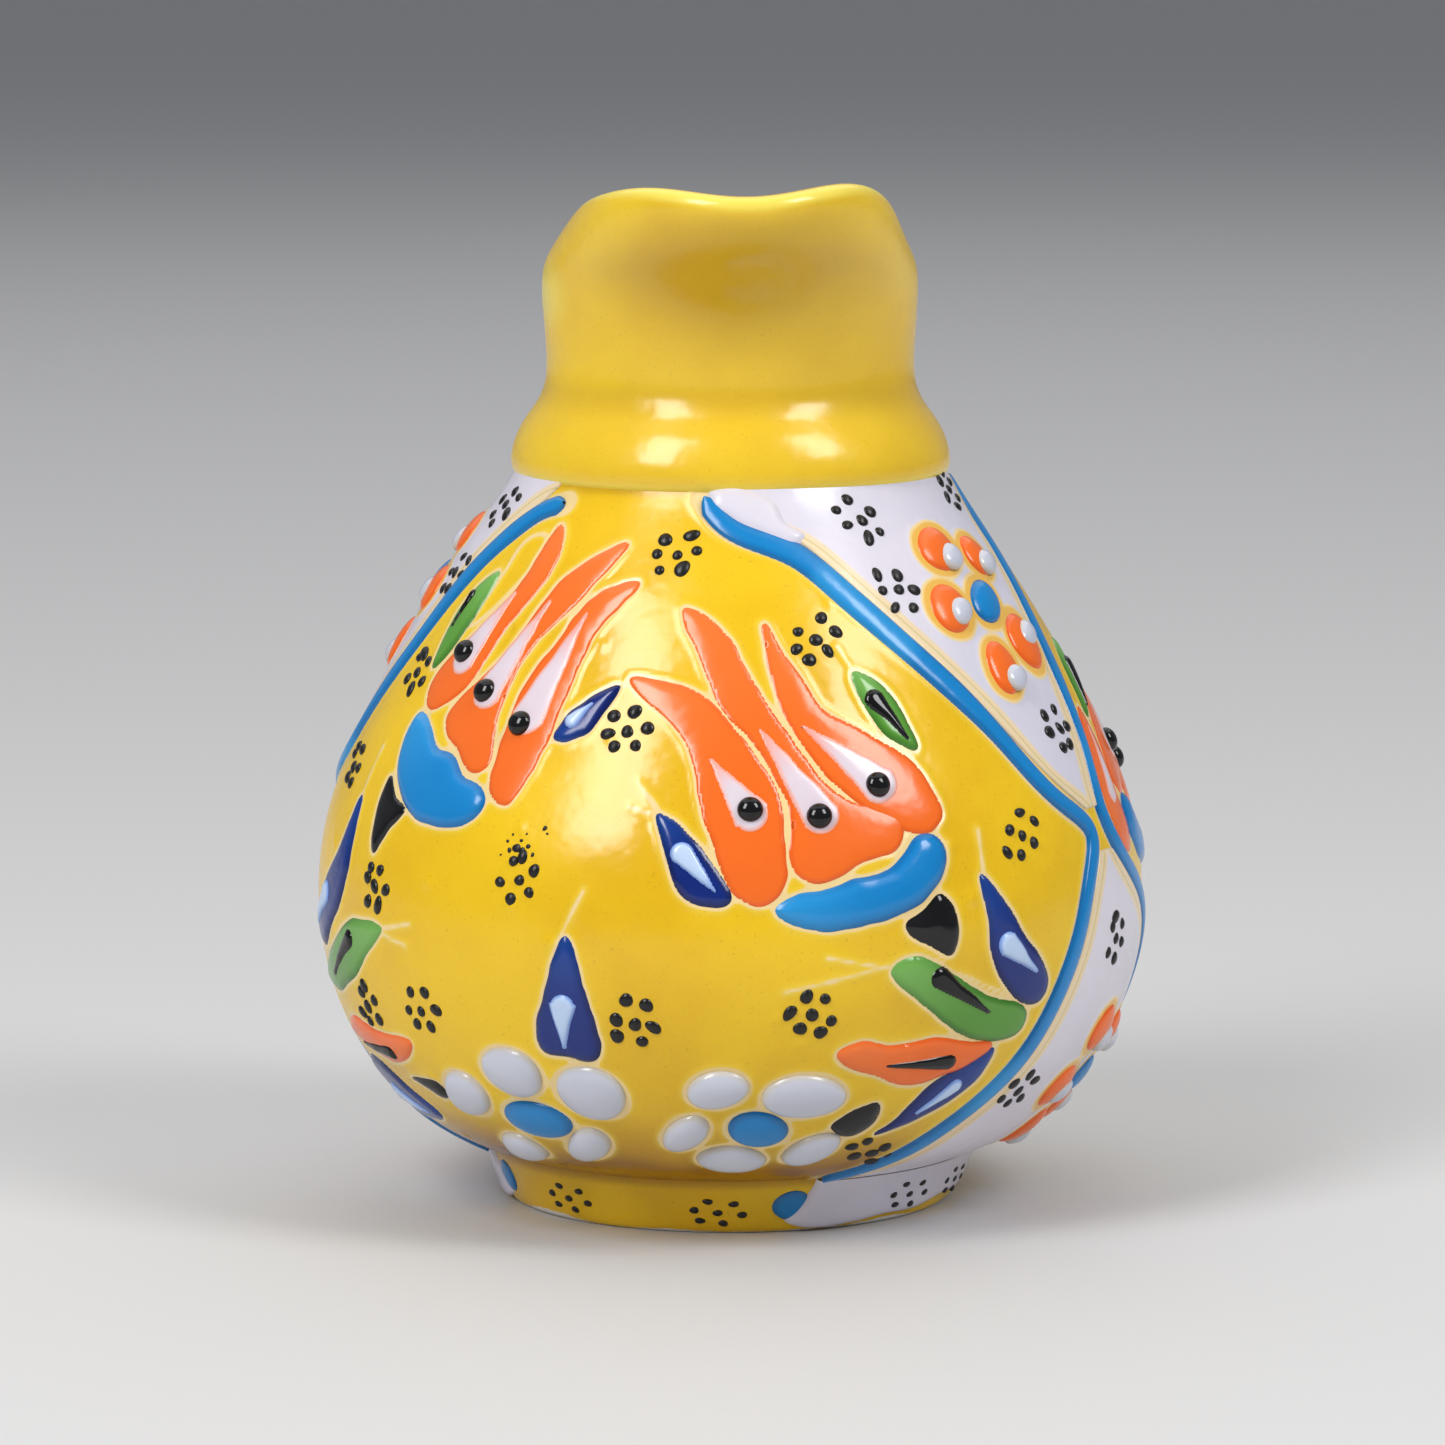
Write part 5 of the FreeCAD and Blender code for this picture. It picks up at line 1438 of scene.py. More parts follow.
    def neck(self) -> None:
        """Neck: collar, pouring lip and throat, from rows of control points.

        Each row moves between its side and lip values by powers of the closeness to the front,
        and a clamped cubic B-spline runs through the rows.
        """
        angle = np.linspace(0.0, 2 * math.pi, self.neck_columns, endpoint=False)
        front = (1 + np.cos(angle)) / 2
        flare = front ** LIP_FLARE_POWER
        lift = RIM_RISE * front ** RIM_RISE_POWER - LIP_DIP * front ** LIP_DIP_POWER
        lift = lift + CORNER_LEAN * np.sin(angle) * front ** CORNER_LEAN_POWER
        signed = (np.degrees(angle) + 180.0) % 360.0 - 180.0
        lift = lift + SHOULDER * np.exp(-((signed - SHOULDER_TURN) / SHOULDER_WIDTH) ** 2)
        rows = np.array(NECK_ROWS)
        rows[:2] = np.array(self.collar_foot)[:, None]
        radius = rows[:, 0, :1] + (rows[:, 1, :1] - rows[:, 0, :1]) * flare
        height = rows[:, 0, 1:] + (rows[:, 1, 1:] - rows[:, 0, 1:]) * lift
        weights = clamped_basis(len(NECK_ROWS), np.linspace(0.0, 1.0, self.neck_rows))
        radius = weights @ radius
        height = weights @ height
        radius = radius + 0.1 * ripple(radius * np.sin(angle), radius * np.cos(angle) + height,
                                       26.0, 11)
        points = np.stack([radius * np.sin(angle), -radius * np.cos(angle), height], axis=-1)
        curve = bulge(points, 3)
        pale_spot = -(((signed + self.spot_turn) / self.spot_half[0]) ** 2
                      + ((height - self.spot_height) / self.spot_half[1]) ** 2)
        thin = np.maximum(0.18 + 0.7 * ease(curve, 0.17, 0.34), np.exp(pale_spot))
        across_way = np.roll(points, -1, 1) - np.roll(points, 1, 1)
        up_way = np.gradient(points, axis=0)
        facing = np.cross(across_way, up_way)
        facing /= np.maximum(np.linalg.norm(facing, axis=-1, keepdims=True), TINY)
        # Painted shade: amber where the neck's surface faces down under the pouring lip; the pool number
        # carries it with the glaze pooled in the neck's hollows.
        under = ease(-facing[..., 2], 0.05, 0.75) * ease(height, 98.0, 104.0)
        pool = np.maximum(self.groove_pool * ease(-curve, 0.0, 0.12), self.under_lip_shade * under)
        sheet = Sheet(*self.FIELDS)
        sheet.add(points.reshape(-1, 3), grid_quads(self.neck_rows, self.neck_columns, True),
                  slip=self.slip_reach, pool=pool, thin=thin)
        self.maker.piece(sheet, "neck_spout", self.palette.yellow)

    def build(self) -> None:
        """Build the three sections from the table up."""
        self.foot()
        self.belly_half("front", self.seam, False)
        self.belly_half("back", self.seam + 180.0, True)
        self.neck()


@dataclass
class BorderLines:
    """The four raised blue borders."""

    maker: Maker
    palette: Palette
    lines: dict[str, Line]
    columns: int = 19
    blob_half: Point = (2.4, 1.9)
    blob_tilt: float = 10.0
    blob_height: float = 0.4
    side_reach: float = 1.16
    swell: float = 0.07
    wide_share: float = 0.26
    widening: Point = (58.0, 68.0)
    narrowing: Point = (86.0, 90.0)
    end_stations: float = 7.0
    flatness: float = 0.45
    edge_height: float = 0.05
    skirt: float = 0.25

    def build(self) -> None:
        """Carry a low dome along each line: its cross-section is a flattened half circle."""
        for number, (node, line) in enumerate(self.lines.items()):
            sheet = Sheet("gap", "tip")
            side = np.linspace(-self.side_reach, self.side_reach, self.columns)[None, :]
            count = len(line.turn)
            seam = np.linspace(0.0, 110.0, count)
            swell = 1 + self.swell * ripple(seam, seam * 0, 9.0, number + 20)
            swell = swell + self.wide_share * (ease(line.rise, *self.widening)
                                               - ease(line.rise, *self.narrowing))
            ends = np.minimum(np.arange(count), np.arange(count)[::-1]) / self.end_stations
            swell = swell * np.sqrt(np.clip(ends, 0.02, 1.0))
            step = side * BORDER_HALF_WIDTH * swell[:, None]
            across = line.heading[1][:, None] * step
            up = -line.heading[0][:, None] * step
            rise = np.clip(line.rise[:, None] + up, 0.0, BELLY.length)
            turn = line.turn[:, None] + np.degrees(across / BELLY.radius(rise))
            dome = np.clip(1 - side ** 2, 0.0, 1.0) ** self.flatness
            lift = np.where(np.abs(side) < 1.0, self.edge_height + BORDER_CROWN * dome,
                            -self.skirt)
            lift = lift * np.ones_like(step)
            gap = (np.abs(side) - 1) * BORDER_HALF_WIDTH * np.ones_like(step)
            light = ease(ripple(seam, seam * 0, 26.0, number + 40), 0.1, 0.9)[:, None]
            quads = grid_quads(count, self.columns)[:, ::-1]
            sheet.add(BELLY.points(turn, rise, lift), quads, gap=gap,
                      tip=light * np.ones_like(step))
            if number < len(FOOT_BLOBS):
                spot = np.array([[*FOOT_BLOBS[number], *self.blob_half, self.blob_tilt]])
                domes(sheet, FOOT, spot, 0.0, self.blob_height, rings=8, columns=24, uneven=0.12)
            self.maker.piece(sheet, node, self.palette.turquoise)


@dataclass
class Tulip:
    """One tulip: petals, pale drops, black eyes and a blue calyx."""

    maker: Maker
    palette: Palette
    name: str
    place: Place
    petals: list[list[Point]]
    drops: list[tuple[Point, Point, float]]
    eyes: list[Point]
    calyx: list[Point]
    more_petals: list[Mark] = field(default_factory=list)
    more_drops: list[Mark] = field(default_factory=list)
    shown: float = 0.62 * PETAL
    drop_height: float = 0.4 * STROKE
    eye_base: float = 0.2 * STROKE
    eye_height: float = EYE_HEIGHT + 0.1

    PETAL_SEED = 60
    CALYX_SEED = 70
    DROP_SEED = 80

    def __post_init__(self) -> None:
        """Lay out the marks, so that the belly can be edged with slip before they are built."""
        self.petal_marks = [Outline(self.place, outline, self.PETAL_SEED + number)
                            for number, outline in enumerate(self.petals)] + self.more_petals
        self.calyx_mark = Outline(self.place, self.calyx, self.CALYX_SEED)
        self.drop_marks = [Drop(self.place, *drop, self.DROP_SEED + number)
                           for number, drop in enumerate(self.drops)] + self.more_drops

    def marks(self) -> list[Mark]:
        """The marks that lie on the belly itself."""
        return [*self.petal_marks, self.calyx_mark]

    def build(self) -> None:
        """Build the tulip's four pieces."""
        petal = Relief(RIM, self.shown - RIM, shoulder=1.9)
        self.maker.piece(lay(self.petal_marks, petal), f"{self.name}_tulip_petals",
                         self.palette.orange)
        drop = Relief(self.shown, self.drop_height, shoulder=1.4, spacing=0.26, skirt=0.2)
        self.maker.piece(lay(self.drop_marks, drop), f"{self.name}_tulip_drops",
                         self.palette.pink)
        sheet = Sheet("gap", "tip")
        spots = oval_rows([(across, rise, EYE_RADIUS, EYE_RADIUS, 0.0)
                           for across, rise in self.eyes], self.place)
        domes(sheet, BELLY, spots, self.shown + self.eye_base, self.eye_height, rings=9,
              columns=28, uneven=0.02, place=self.place)
        self.maker.piece(sheet, f"{self.name}_tulip_eyes", self.palette.black)
        calyx = Relief(RIM, CALYX - RIM, shoulder=1.6)
        self.maker.piece(lay([self.calyx_mark], calyx), f"{self.name}_tulip_calyx",
                         self.palette.turquoise)


@dataclass
class Leaves:
    """The navy, green and orange leaves of one panel, with what lies on them, and the buds."""

    maker: Maker
    palette: Palette
    name: str
    right: Place
    left: Place
    centre: Place

    NAVY_SEED = 100
    GREEN_SEED = 120
    ORANGE_SEED = 140
    DROP_STEP = 50
    BUD_SEED = 151

    def __post_init__(self) -> None:
        """Lay out blades, drops on them and buds."""
        navy = [(motif, self.centre) for motif in RIGHT_NAVY_LEAVES + LEFT_NAVY_LEAVES
                + CENTRE_NAVY_LEAVES]
        green = [(RIGHT_GREEN_LEAVES[0], self.centre), (LEFT_GREEN_LEAVES[0], self.centre),
                 (RIGHT_GREEN_LEAVES[1], self.right), (LEFT_GREEN_LEAVES[1], self.left)]
        orange = [(motif, self.centre) for motif in RIGHT_ORANGE_LEAVES + LEFT_ORANGE_LEAVES]
        self.navy, self.highlights = self.split(navy, self.NAVY_SEED)
        self.green, green_seeds = self.split(green, self.GREEN_SEED)
        self.orange, orange_seeds = self.split(orange, self.ORANGE_SEED)
        self.seeds = green_seeds + orange_seeds
        buds = [(self.centre, RIGHT_BUD), (self.left, LEFT_BUD), (self.centre, RIGHT_LOW_BUD),
                (self.centre, LEFT_LOW_BUD)]
        self.buds = [Outline(*bud, self.BUD_SEED + number) for number, bud in enumerate(buds)]

    def split(self, motifs: list[tuple], seed: int) -> tuple[list[Mark], list[Mark]]:
        """Blades and the drops that lie on them.

        Args:
            motifs: pairs of a motif, which is a blade's outline and its drop, and its place.
            seed: the first blade's seed.

        Returns:
            The blades and the drops.
        """
        blades = [Outline(place, outline, seed + number)
                  for number, ((outline, _), place) in enumerate(motifs)]
        tops = [Drop(place, *drop, seed + self.DROP_STEP + number)
                for number, ((_, drop), place) in enumerate(motifs)]
        return blades, tops

    def marks(self) -> list[Mark]:
        """The marks that lie on the belly itself."""
        return [*self.navy, *self.green, *self.orange, *self.buds]

    def build(self) -> None:
        """Build the panel's leaf pieces."""
        top = Relief(LEAF, STROKE, shoulder=0.8, spacing=0.24, skirt=0.2)
        blade = Relief(RIM, LEAF - RIM)
        bud = Relief(RIM, LEAF - RIM, shoulder=1.2)
        for marks, relief, node, finish in (
                (self.navy, blade, "navy_leaves", self.palette.navy),
                (self.highlights, top, "leaf_highlights", self.palette.sky),
                (self.green, blade, "green_leaves", self.palette.green),
                (self.orange, blade, "orange_leaves", self.palette.orange),
                (self.seeds, top, "leaf_seeds", self.palette.black),
                (self.buds, bud, "black_buds", self.palette.black)):
            self.maker.piece(lay(marks, relief), f"{self.name}_{node}", finish)


@dataclass
class Daisies:
    """Two domed white daisies with blue centres."""

    maker: Maker
    palette: Palette
    name: str
    place: Place

    SEED = 200

    def __post_init__(self) -> None:
        """Lay out the ovals."""
        self.ovals: list[Mark] = [Oval(self.place, spot, self.SEED + number)
                                  for number, spot in enumerate(DAISY_PETALS + DAISY_CENTRES)]

    def marks(self) -> list[Mark]:
        """The marks that lie on the belly itself."""
        return self.ovals

    def build(self) -> None:
        """Build petals and centres as domes."""
        for spots, height, node, finish in (
                (DAISY_PETALS, DAISY_HEIGHT, "daisy_petals", self.palette.chalk),
                (DAISY_CENTRES, DAISY_CENTRE_HEIGHT, "daisy_centres", self.palette.turquoise)):
            sheet = Sheet("gap", "tip")
            domes(sheet, BELLY, oval_rows(spots, self.place), 0.0, height, rings=14, columns=40,
                  uneven=0.05, place=self.place)
            self.maker.piece(sheet, f"{self.name}_{node}", finish)


@dataclass
class Dots:
    """Clusters of seven small black dots, some drawn out and some run together."""

    maker: Maker
    palette: Palette
    node: str
    place: Place
    clusters: list[tuple[Point, float]]
    base: float
    specks: list[tuple[float, float, float]] = field(default_factory=list)
    foot_clusters: list[tuple[float, float, float]] = field(default_factory=list)
    low_spread: Point = (1.3, 0.62)
    low_radius: float = 0.6
    low_share: float = 0.7
    low_height: float = 0.2
    speck_height: float = 0.12
    stray: float = 0.16
    sizes: Point = (0.84, 1.22)
    pulled_dot: int = 3
    pulled_step: int = 2
    pulled_share: float = 0.45
    pulled_odds: float = 0.3
    drawn_odds: float = 0.3
    drawn_out: Point = (1.2, 1.5)
    roundness: float = 1.06

    SEED = 400

    def spots(self) -> Array:
        """Rows for domes: every dot of every cluster, in a slightly uneven hand."""
        middles = np.array([middle for middle, _ in self.clusters])[:, None, :]
        tilt = np.radians([tilt for _, tilt in self.clusters])[:, None]
        drawn = np.array(DOT_CLUSTER)[None]
        across = drawn[..., 0] * np.cos(tilt) - drawn[..., 1] * np.sin(tilt)
        up = drawn[..., 0] * np.sin(tilt) + drawn[..., 1] * np.cos(tilt)
        random = np.random.default_rng(len(self.clusters) + self.SEED)
        flat = middles + np.stack([across, up], axis=-1)
        flat = flat.reshape(-1, 2) + random.normal(0.0, self.stray, (flat.size // 2, 2))
        size = DOT_RADIUS * random.uniform(*self.sizes, (len(flat), 1))
        number = np.arange(len(flat)) % len(DOT_CLUSTER)
        pulled = (number == self.pulled_dot) & (random.random(len(flat)) < self.pulled_odds)
        flat[pulled] = ((1 - self.pulled_share) * flat[pulled]
                        + self.pulled_share * flat[np.flatnonzero(pulled) - self.pulled_step])
        stretch = np.where(random.random((len(flat), 1)) < self.drawn_odds,
                           random.uniform(*self.drawn_out, (len(flat), 1)), self.roundness)
        turn, rise = self.place.drawn(flat[:, 0], flat[:, 1])
        angle = random.uniform(0.0, 180.0, (len(flat), 1))
        return np.column_stack([turn, rise, size * stretch, size, angle])

    def build(self) -> None:
        """Build the dots, and those on the foot's side."""
        sheet = Sheet("gap", "tip")
        domes(sheet, BELLY, self.spots(), self.base, DOT_HEIGHT, rings=4, columns=14,
              uneven=0.08, place=self.place)
        if self.specks:
            rows = oval_rows([(across, rise, size, size, 0.0)
                              for across, rise, size in self.specks], self.place)
            domes(sheet, BELLY, rows, self.base, self.speck_height, rings=4, columns=12,
                  uneven=0.2, place=self.place)
        for turn, rise, base in self.foot_clusters:
            flat = np.array(DOT_CLUSTER) * self.low_spread
            size = np.full((len(flat), 1), self.low_radius)
            rows = np.column_stack([turn + np.degrees(flat[:, 0] / FOOT_TOP_RADIUS),
                                    rise + flat[:, 1], size, size * self.low_share, 0.0 * size])
            domes(sheet, FOOT, rows, base, self.low_height, rings=4, columns=12, uneven=0.1)
        self.maker.piece(sheet, self.node, self.palette.dots)


@dataclass
class Panel:
    """One yellow panel with its two tulips, leaves, daisies and dots."""

    maker: Maker
    palette: Palette
    name: str
    right: Place
    left: Place
    centre: Place
    dots: Dots
    corner: Place | None = None

    CORNER_SEED = 90

    def __post_init__(self) -> None:
        """Lay out the panel's sub-assemblies."""
        petals: list[Mark] = []
        drops: list[Mark] = []
        if self.corner:
            petals.append(Outline(self.corner, CORNER_PETAL, self.CORNER_SEED))
            drops.append(Drop(self.corner, *CORNER_DROP, self.CORNER_SEED + 1))
        self.tulips = [
            Tulip(self.maker, self.palette, f"{self.name}_right", self.right, RIGHT_PETALS,
                  RIGHT_DROPS, RIGHT_EYES, RIGHT_CALYX, petals, drops),
            Tulip(self.maker, self.palette, f"{self.name}_left", self.left, LEFT_PETALS,
                  LEFT_DROPS, LEFT_EYES, LEFT_CALYX)]
        self.leaves = Leaves(self.maker, self.palette, self.name, self.right, self.left,
                             self.centre)
        self.daisies = Daisies(self.maker, self.palette, self.name, self.centre)

    def marks(self) -> list[Mark]:
        """The marks that lie on the belly itself."""
        found = [mark for tulip in self.tulips for mark in tulip.marks()]
        return found + self.leaves.marks() + self.daisies.marks()

    def build(self) -> None:
        """Build everything on the panel."""
        for part in (*self.tulips, self.leaves, self.daisies, self.dots):
            part.build()


@dataclass
class Flower:
    """Flower of a white ground: orange petals with a white bead each, and a blue centre."""

    maker: Maker
    palette: Palette
    name: str
    place: Place

    SEED = 230

    def __post_init__(self) -> None:
        """Lay out the ovals."""
        self.ovals: list[Mark] = [Oval(self.place, spot, self.SEED + number)
                                  for number, spot in enumerate(FLOWER_PETALS + [FLOWER_CENTRE])]

    def build(self) -> None:
        """Build petals, beads and centre as domes."""
        bead_width, bead_height, bead_crown = BEAD
        beads = [(across, rise, bead_width, bead_height, BEAD_TILT)
                 for across, rise in FLOWER_BEADS]
        for spots, base, height, node, finish in (
                (FLOWER_PETALS, GROUND, FLOWER_PETAL_HEIGHT, "petals", self.palette.orange),
                (beads, GROUND + FLOWER_BEAD_BASE - BEAD_SINK, bead_crown, "beads",
                 self.palette.chalk),
                ([FLOWER_CENTRE], GROUND, FLOWER_PETAL_HEIGHT, "centre",
                 self.palette.turquoise)):
            sheet = Sheet("gap", "tip")
            domes(sheet, BELLY, oval_rows(spots, self.place), base, height, rings=12,
                  columns=36, uneven=0.05, place=self.place)
            self.maker.piece(sheet, f"{self.name}_flower_{node}", finish)


@dataclass
class WhiteField:
    """One white field: upper and lower ground, a flower on each, dots and the foot's glaze."""

    maker: Maker
    palette: Palette
    name: str
    place: Place
    upper: tuple[list[float], list[float]]
    lower: tuple[list[float], list[float]]
    glaze: Point
    borders: list[Line]
    clusters: list[tuple[Point, float]]
    pool: bool = False
    rows: int = 150
    columns: int = 130
    reach: float = 3.0
    spill: float = 0.9
    collar_depth: float = 1.2
    thickness: float = GROUND + 0.06
    rounding: float = 0.5
    skirt: float = 0.12
    ridge: float = 0.1
    ridge_gap: Point = (0.6, 1.5)
    edge_samples: int = 400
    foot_rows: int = 26
    foot_columns: int = 160
    foot_thickness: float = 0.62
    foot_rounding: float = 1.1
    foot_skirt: float = 0.15
    foot_bottom: float = 1.1
    foot_lift: float = 2.4
    foot_corner: Point = (4.0, 1.6)
    foot_lean: float = 7.0
    lean_power: float = 1.6
    lean_reach: float = 9.0

    LEAST_SIDE = 0.001
    POOL_SEED = 250
    FOOT_SEED = 33

    def ground(self, node: str, edges: tuple[list[float], list[float]], rises: list[float],
               flower: Flower, upper: bool) -> None:
        """White coat between two edges, each a smooth curve through its stations.

        It lies as thick as the part's, less a quarter circle along its free edges, and stands
        a little higher round the flower's petals.

        Args:
            node: the CAD node's name.
            edges: turns of the front and the back edge's stations.
            rises: rises of the stations.
            flower: the flower that lies on it.
            upper: whether it runs up to the collar, and not down to the foot.
        """
        top = BELLY.length - self.collar_depth if upper else rises[0]
        low = rises[-1] if upper else 0.0
        rise = np.linspace(top, low, self.rows)
        sides = []
        for edge in edges:
            flat = smooth_path(np.column_stack([edge, rises]), self.edge_samples, False)
            order = np.argsort(flat[:, 1])
            sides.append(np.interp(rise, flat[order, 1], flat[order, 0]))
        share = (0.5 - 0.5 * np.cos(np.linspace(0.0, math.pi, self.columns)))[None, :]
        spill = np.degrees(self.spill / BELLY.radius(rise)) * np.sign(sides[1] - sides[0])
        sides = [sides[0] - spill, sides[1] + spill]
        width = np.radians(np.abs(sides[1] - sides[0])) * BELLY.radius(rise)
        turn = sides[0][:, None] + (sides[1] - sides[0])[:, None] * share
        inward = np.minimum(share, 1 - share) * width[:, None]
        free_end = np.abs(rise - (low if upper else top))
        inward = np.minimum(inward, free_end[:, None]).ravel()
        level = rise[:, None] + 0.0 * share
        edge_gap = np.full(turn.size, self.reach)
        for border in self.borders:
            edge_gap = np.minimum(edge_gap, border.distance(turn.ravel(), level.ravel(),
                                                            self.reach))
        slip = slip_field(turn.ravel(), level.ravel(), flower.ovals, self.reach)
        ridge = self.ridge * (1 - ease(slip, *self.ridge_gap))
        round_edge = np.sqrt(1 - (1 - np.clip(inward / self.rounding, 0.0, 1.0)) ** 2)
        lift = (self.thickness + ridge) * round_edge - self.skirt * (inward < KEPT_GAP)
        sheet = Sheet("slip", "edge")
        quads = grid_quads(self.rows, self.columns)
        clockwise = (sides[1] - sides[0]).mean() * (rises[-1] - rises[0]) < 0
        if clockwise:
            quads = quads[:, ::-1]
        sheet.add(BELLY.points(turn.ravel(), level.ravel(), lift), quads, slip=slip,
                  edge=edge_gap)
        if upper and self.pool:
            self.pooled(sheet)
        if not upper:
            self.foot_glaze(sheet)
        self.maker.piece(sheet, node, self.palette.white)

    def pooled(self, sheet: Sheet) -> None:
        """Thick white glaze that has run over the top of the border."""
        stations = [(math.radians(turn) * float(BELLY.radius(rise)), rise)
                    for turn, rise in POOLED_GLAZE]
        mark = Outline(Place(0.0), stations, self.POOL_SEED)
        trail(sheet, mark, Relief(0.15, 0.8, shoulder=1.5, spacing=0.24),
              slip=lambda across, up, gap: np.full_like(across, self.reach),
              edge=lambda across, up, gap: np.full_like(across, self.reach))

    def foot_glaze(self, sheet: Sheet) -> None:
        """White glaze over the foot's side: its lower edge wavers, and its rim is rounded."""
        first, last = self.glaze
        turn = first + (last - first) * np.linspace(0.0, 1.0, self.foot_columns)[None, :]
        up_share = np.linspace(0.0, 1.0, self.foot_rows)[:, None]
        along = np.abs(turn - first) * 0.5
        reach = np.minimum(along, np.abs(turn - last) * 0.5)
        corner_reach, corner_rise = self.foot_corner
        start = np.clip(reach / corner_reach, 0.0, 1.0)
        bottom = (self.foot_bottom + 0.5 * ripple(along, along * 0, 15.0, self.FOOT_SEED)
                  + self.foot_lift * along / along.max())
        bottom = bottom + corner_rise * (1 - np.sqrt(1 - (1 - start) ** 2))
        rise = np.clip(bottom + (FOOT.length - bottom) * up_share, 0.0, FOOT.length)
        lean = (self.foot_lean * (1 - up_share) ** self.lean_power
                * (1 - ease(along, 0.0, self.lean_reach)))
        turn = turn - lean * np.sign(last - first)
        side = np.minimum(rise - bottom, reach)
        round_edge = np.sqrt(1 - (1 - np.clip(side / self.foot_rounding, 0.0, 1.0)) ** 2)
        lift = np.where(side < self.LEAST_SIDE, -self.foot_skirt, self.foot_thickness * round_edge + 0.01)
        quads = grid_quads(self.foot_rows, self.foot_columns)
        if last < first:
            quads = quads[:, ::-1]
        sheet.add(FOOT.points(turn, rise, lift), quads, slip=self.reach, edge=self.reach)

    def build(self) -> None:
        """Build grounds, flowers and dots."""
        low = Place(self.place.axis, self.place.mirror, *LOW_FLOWER_SHIFT)
        flowers = [Flower(self.maker, self.palette, f"{self.name}_upper", self.place),
                   Flower(self.maker, self.palette, f"{self.name}_lower", low)]
        self.ground(f"{self.name}_upper_ground", self.upper, UPPER_RISES, flowers[0], True)
        self.ground(f"{self.name}_lower_ground", self.lower, LOWER_RISES, flowers[1], False)
        for flower in flowers:
            flower.build()
        Dots(self.maker, self.palette, f"{self.name}_ground_dots", self.place, self.clusters,
             GROUND).build()


@dataclass(frozen=True)
class SoftBox:
    """A rectangular soft light: its name, its place, its size in metres and its power."""

    name: str
    place: Point3
    size: Point
    power: float


@dataclass
class Studio:
    """Pale floor, soft boxes and the camera."""

    boxes: tuple[SoftBox, ...] = (
        SoftBox("left_box", (-0.57, -0.57, 0.72), (0.34, 0.60), 6.9),
        SoftBox("right_box", (0.62, -0.48, 0.76), (0.32, 0.48), 4.9),
        SoftBox("top_box", (0.0, 0.6, 1.5), (2.4, 2.4), 15.0))
    floor_half: float = 7.0
    floor_colour: Colour = (0.63, 0.625, 0.62)
    floor_roughness: float = 0.6
    sky_colour: Colour = (0.9, 0.93, 1.0)
    sky_strength: float = 0.25
    eye: Vector = Vector((-0.0569, -0.8130, 0.1630))
    target: Vector = Vector((0.0, 0.0, 0.05587))
    lens: float = 173.98
    shift: float = -0.0052
    sensor: float = 36.0
    clip: Point = (0.01, 100.0)

    def floor(self) -> None:
        """A wide, pale, matt floor."""
        mesh = bpy.data.meshes.new("floor")
        half = self.floor_half
        mesh.from_pydata([(-half, -half, 0), (half, -half, 0), (half, half, 0),
                          (-half, half, 0)], [], [(0, 1, 2, 3)])
        plane = bpy.data.objects.new("floor", mesh)
        bpy.context.scene.collection.objects.link(plane)
        material = bpy.data.materials.new("floor")
        material.use_nodes = True
        shader = material.node_tree.nodes["Principled BSDF"]
        shader.inputs["Base Color"].default_value = (*self.floor_colour, 1.0)
        shader.inputs["Roughness"].default_value = self.floor_roughness
        mesh.materials.append(material)

    def aim(self, made: bpy.types.Object, place: Vector) -> None:
        """Put a light or the camera at a place, turn it to the vase and add it to the scene."""
        made.location = place
        made.rotation_mode = "QUATERNION"
        made.rotation_quaternion = (self.target - place).to_track_quat("-Z", "Y")
        bpy.context.scene.collection.objects.link(made)

    def light(self, box: SoftBox) -> None:
        """Make a soft box that faces the vase."""
        light = bpy.data.lights.new(box.name, "AREA")
        light.shape = "RECTANGLE"
        light.size, light.size_y = box.size
        light.energy = box.power
        self.aim(bpy.data.objects.new(box.name, light), Vector(box.place))

    def camera(self) -> None:
        """Long lens that looks slightly down at the pouring lip's side."""
        lens = bpy.data.cameras.new("camera")
        lens.lens = self.lens
        lens.sensor_width = self.sensor
        lens.shift_x = self.shift
        lens.clip_start, lens.clip_end = self.clip
        camera = bpy.data.objects.new("camera", lens)
        self.aim(camera, self.eye)
        bpy.context.scene.camera = camera

    def build(self) -> None:
        """Build the floor, the lights, the sky's even light and the camera."""
        self.floor()
        for box in self.boxes:
            self.light(box)
        world = bpy.data.worlds.new("studio")
        world.use_nodes = True
        background = world.node_tree.nodes["Background"]
        background.inputs["Color"].default_value = (*self.sky_colour, 1.0)
        background.inputs["Strength"].default_value = self.sky_strength
        bpy.context.scene.world = world
        bpy.context.scene.view_settings.view_transform = "Standard"
        self.camera()


HAIR_SEED = 300
CELL_SEED = 299


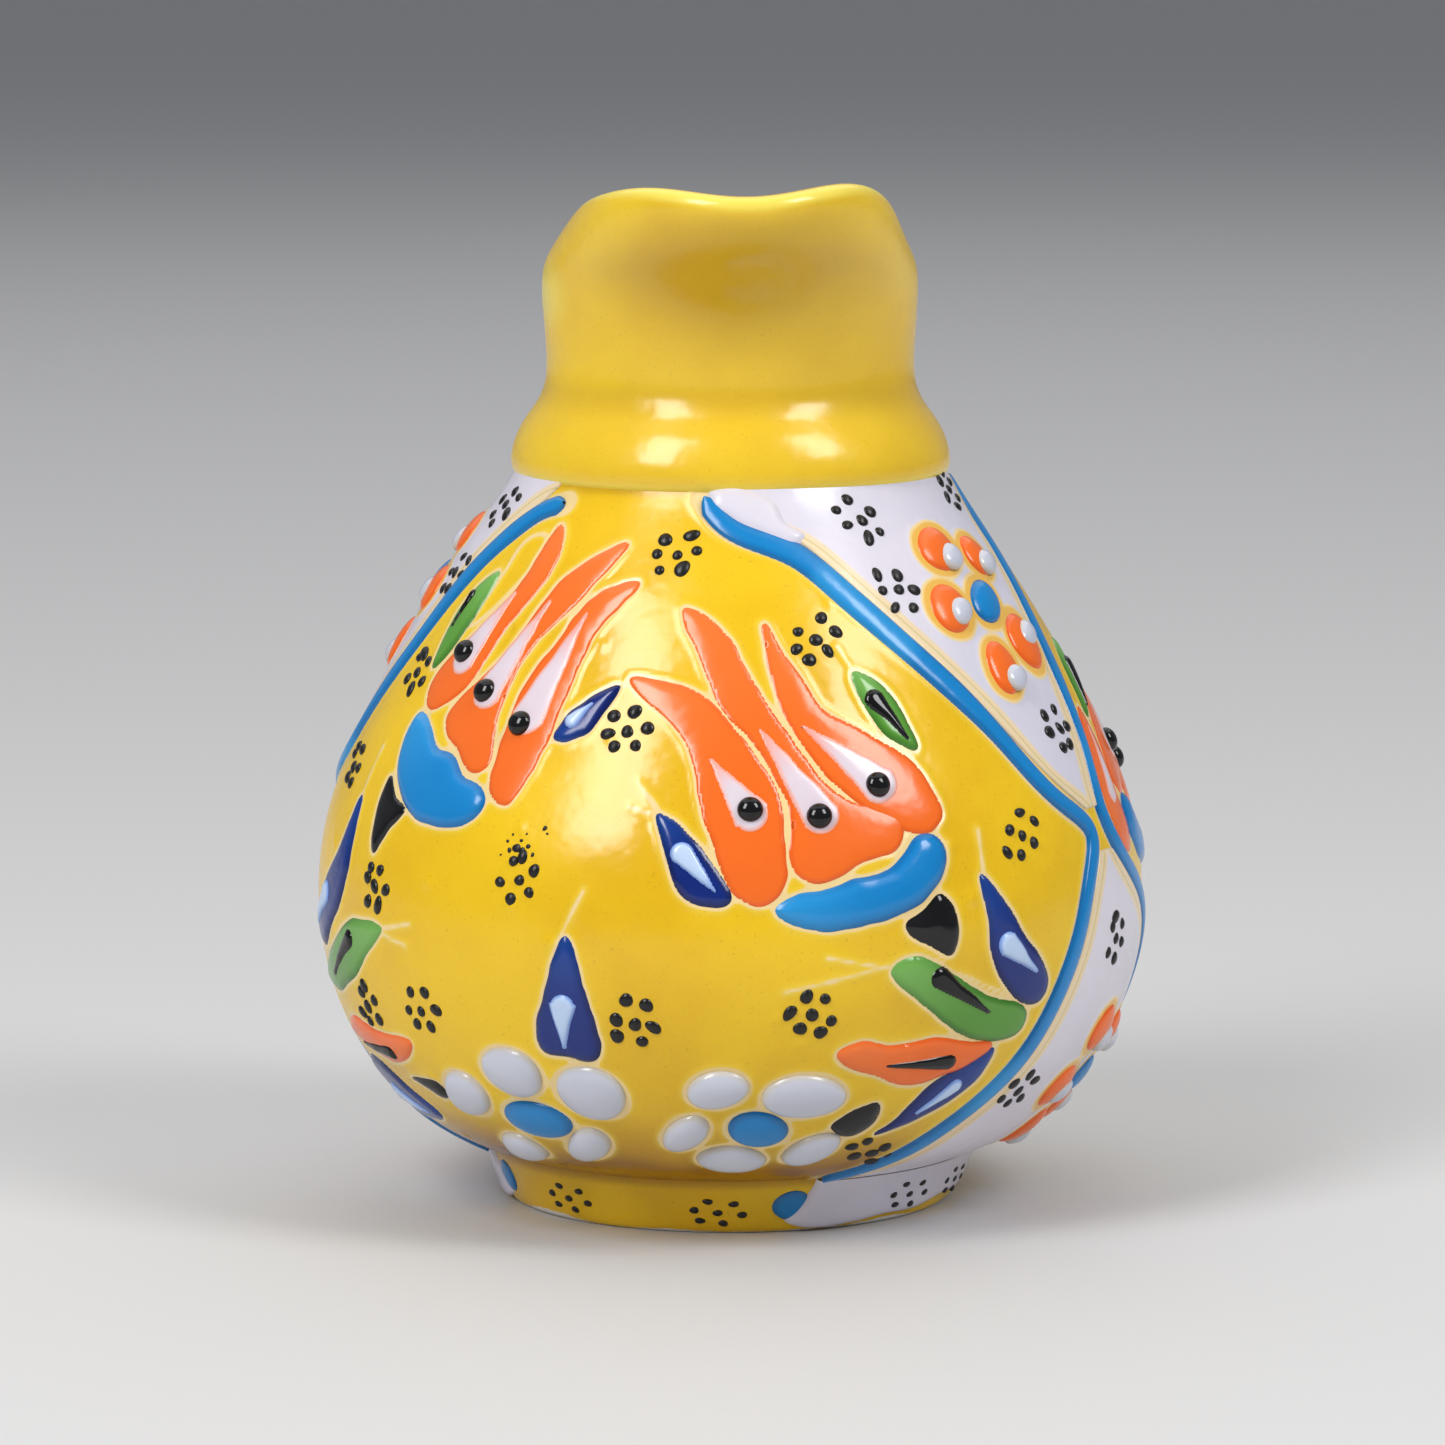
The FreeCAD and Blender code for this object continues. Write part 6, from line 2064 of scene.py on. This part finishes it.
def main() -> None:
    """Build the vase and its studio, in order."""
    logging.basicConfig(level=logging.INFO, format="%(message)s")
    maker = Maker()
    palette = Palette()
    drawn = Place(PANEL_AXIS)
    back = Place(PANEL_AXIS, BACK_CENTRE_MIRROR)
    lines = {"front_right_border": Line(FRONT_RIGHT_BORDER),
             "front_left_border": Line(FRONT_LEFT_BORDER),
             "back_left_border": Line(BACK_LEFT_BORDER),
             "back_right_border": Line(BACK_LEFT_BORDER, LEFT_FIELD_MIRROR)}
    panels = [
        Panel(maker, palette, "front", drawn, drawn, drawn,
              Dots(maker, palette, "front_dots", drawn, FRONT_CLUSTERS, 0.0, SMUDGE,
                   FOOT_CLUSTERS)),
        Panel(maker, palette, "back", Place(PANEL_AXIS, BACK_RIGHT_TULIP_MIRROR),
              Place(PANEL_AXIS, BACK_LEFT_TULIP_MIRROR), back,
              Dots(maker, palette, "back_dots", Place(BACK_AXIS), BACK_CLUSTERS, 0.0),
              Place(FIELD_AXIS))]
    marks = [mark for panel in panels for mark in panel.marks()]
    strokes = [Drop(drawn, *hair, HAIR_SEED + number) for number, hair in enumerate(CREAM_HAIRS)]
    Vessel(maker, palette, marks, strokes, Outline(drawn, CREAM_CELL, CELL_SEED),
           list(lines.values())).build()
    BorderLines(maker, palette, lines).build()
    for panel in panels:
        panel.build()
    upper_back = [LEFT_FIELD_MIRROR - turn for turn in UPPER_BACK]
    lower_back = [LEFT_FIELD_MIRROR - turn for turn in LOWER_BACK]
    WhiteField(maker, palette, "right", Place(FIELD_AXIS), (UPPER_RIGHT_FRONT, UPPER_BACK),
               (LOWER_RIGHT_FRONT, LOWER_BACK), RIGHT_FOOT_GLAZE,
               [lines["front_right_border"], lines["back_left_border"]], FIELD_CLUSTERS,
               True).build()
    WhiteField(maker, palette, "left", Place(FIELD_AXIS, LEFT_FIELD_MIRROR),
               (UPPER_LEFT_FRONT, upper_back), (LOWER_LEFT_FRONT, lower_back), LEFT_FOOT_GLAZE,
               [lines["front_left_border"], lines["back_right_border"]],
               FIELD_CLUSTERS[:-1]).build()
    Studio().build()


if __name__ == "__main__":
    main()
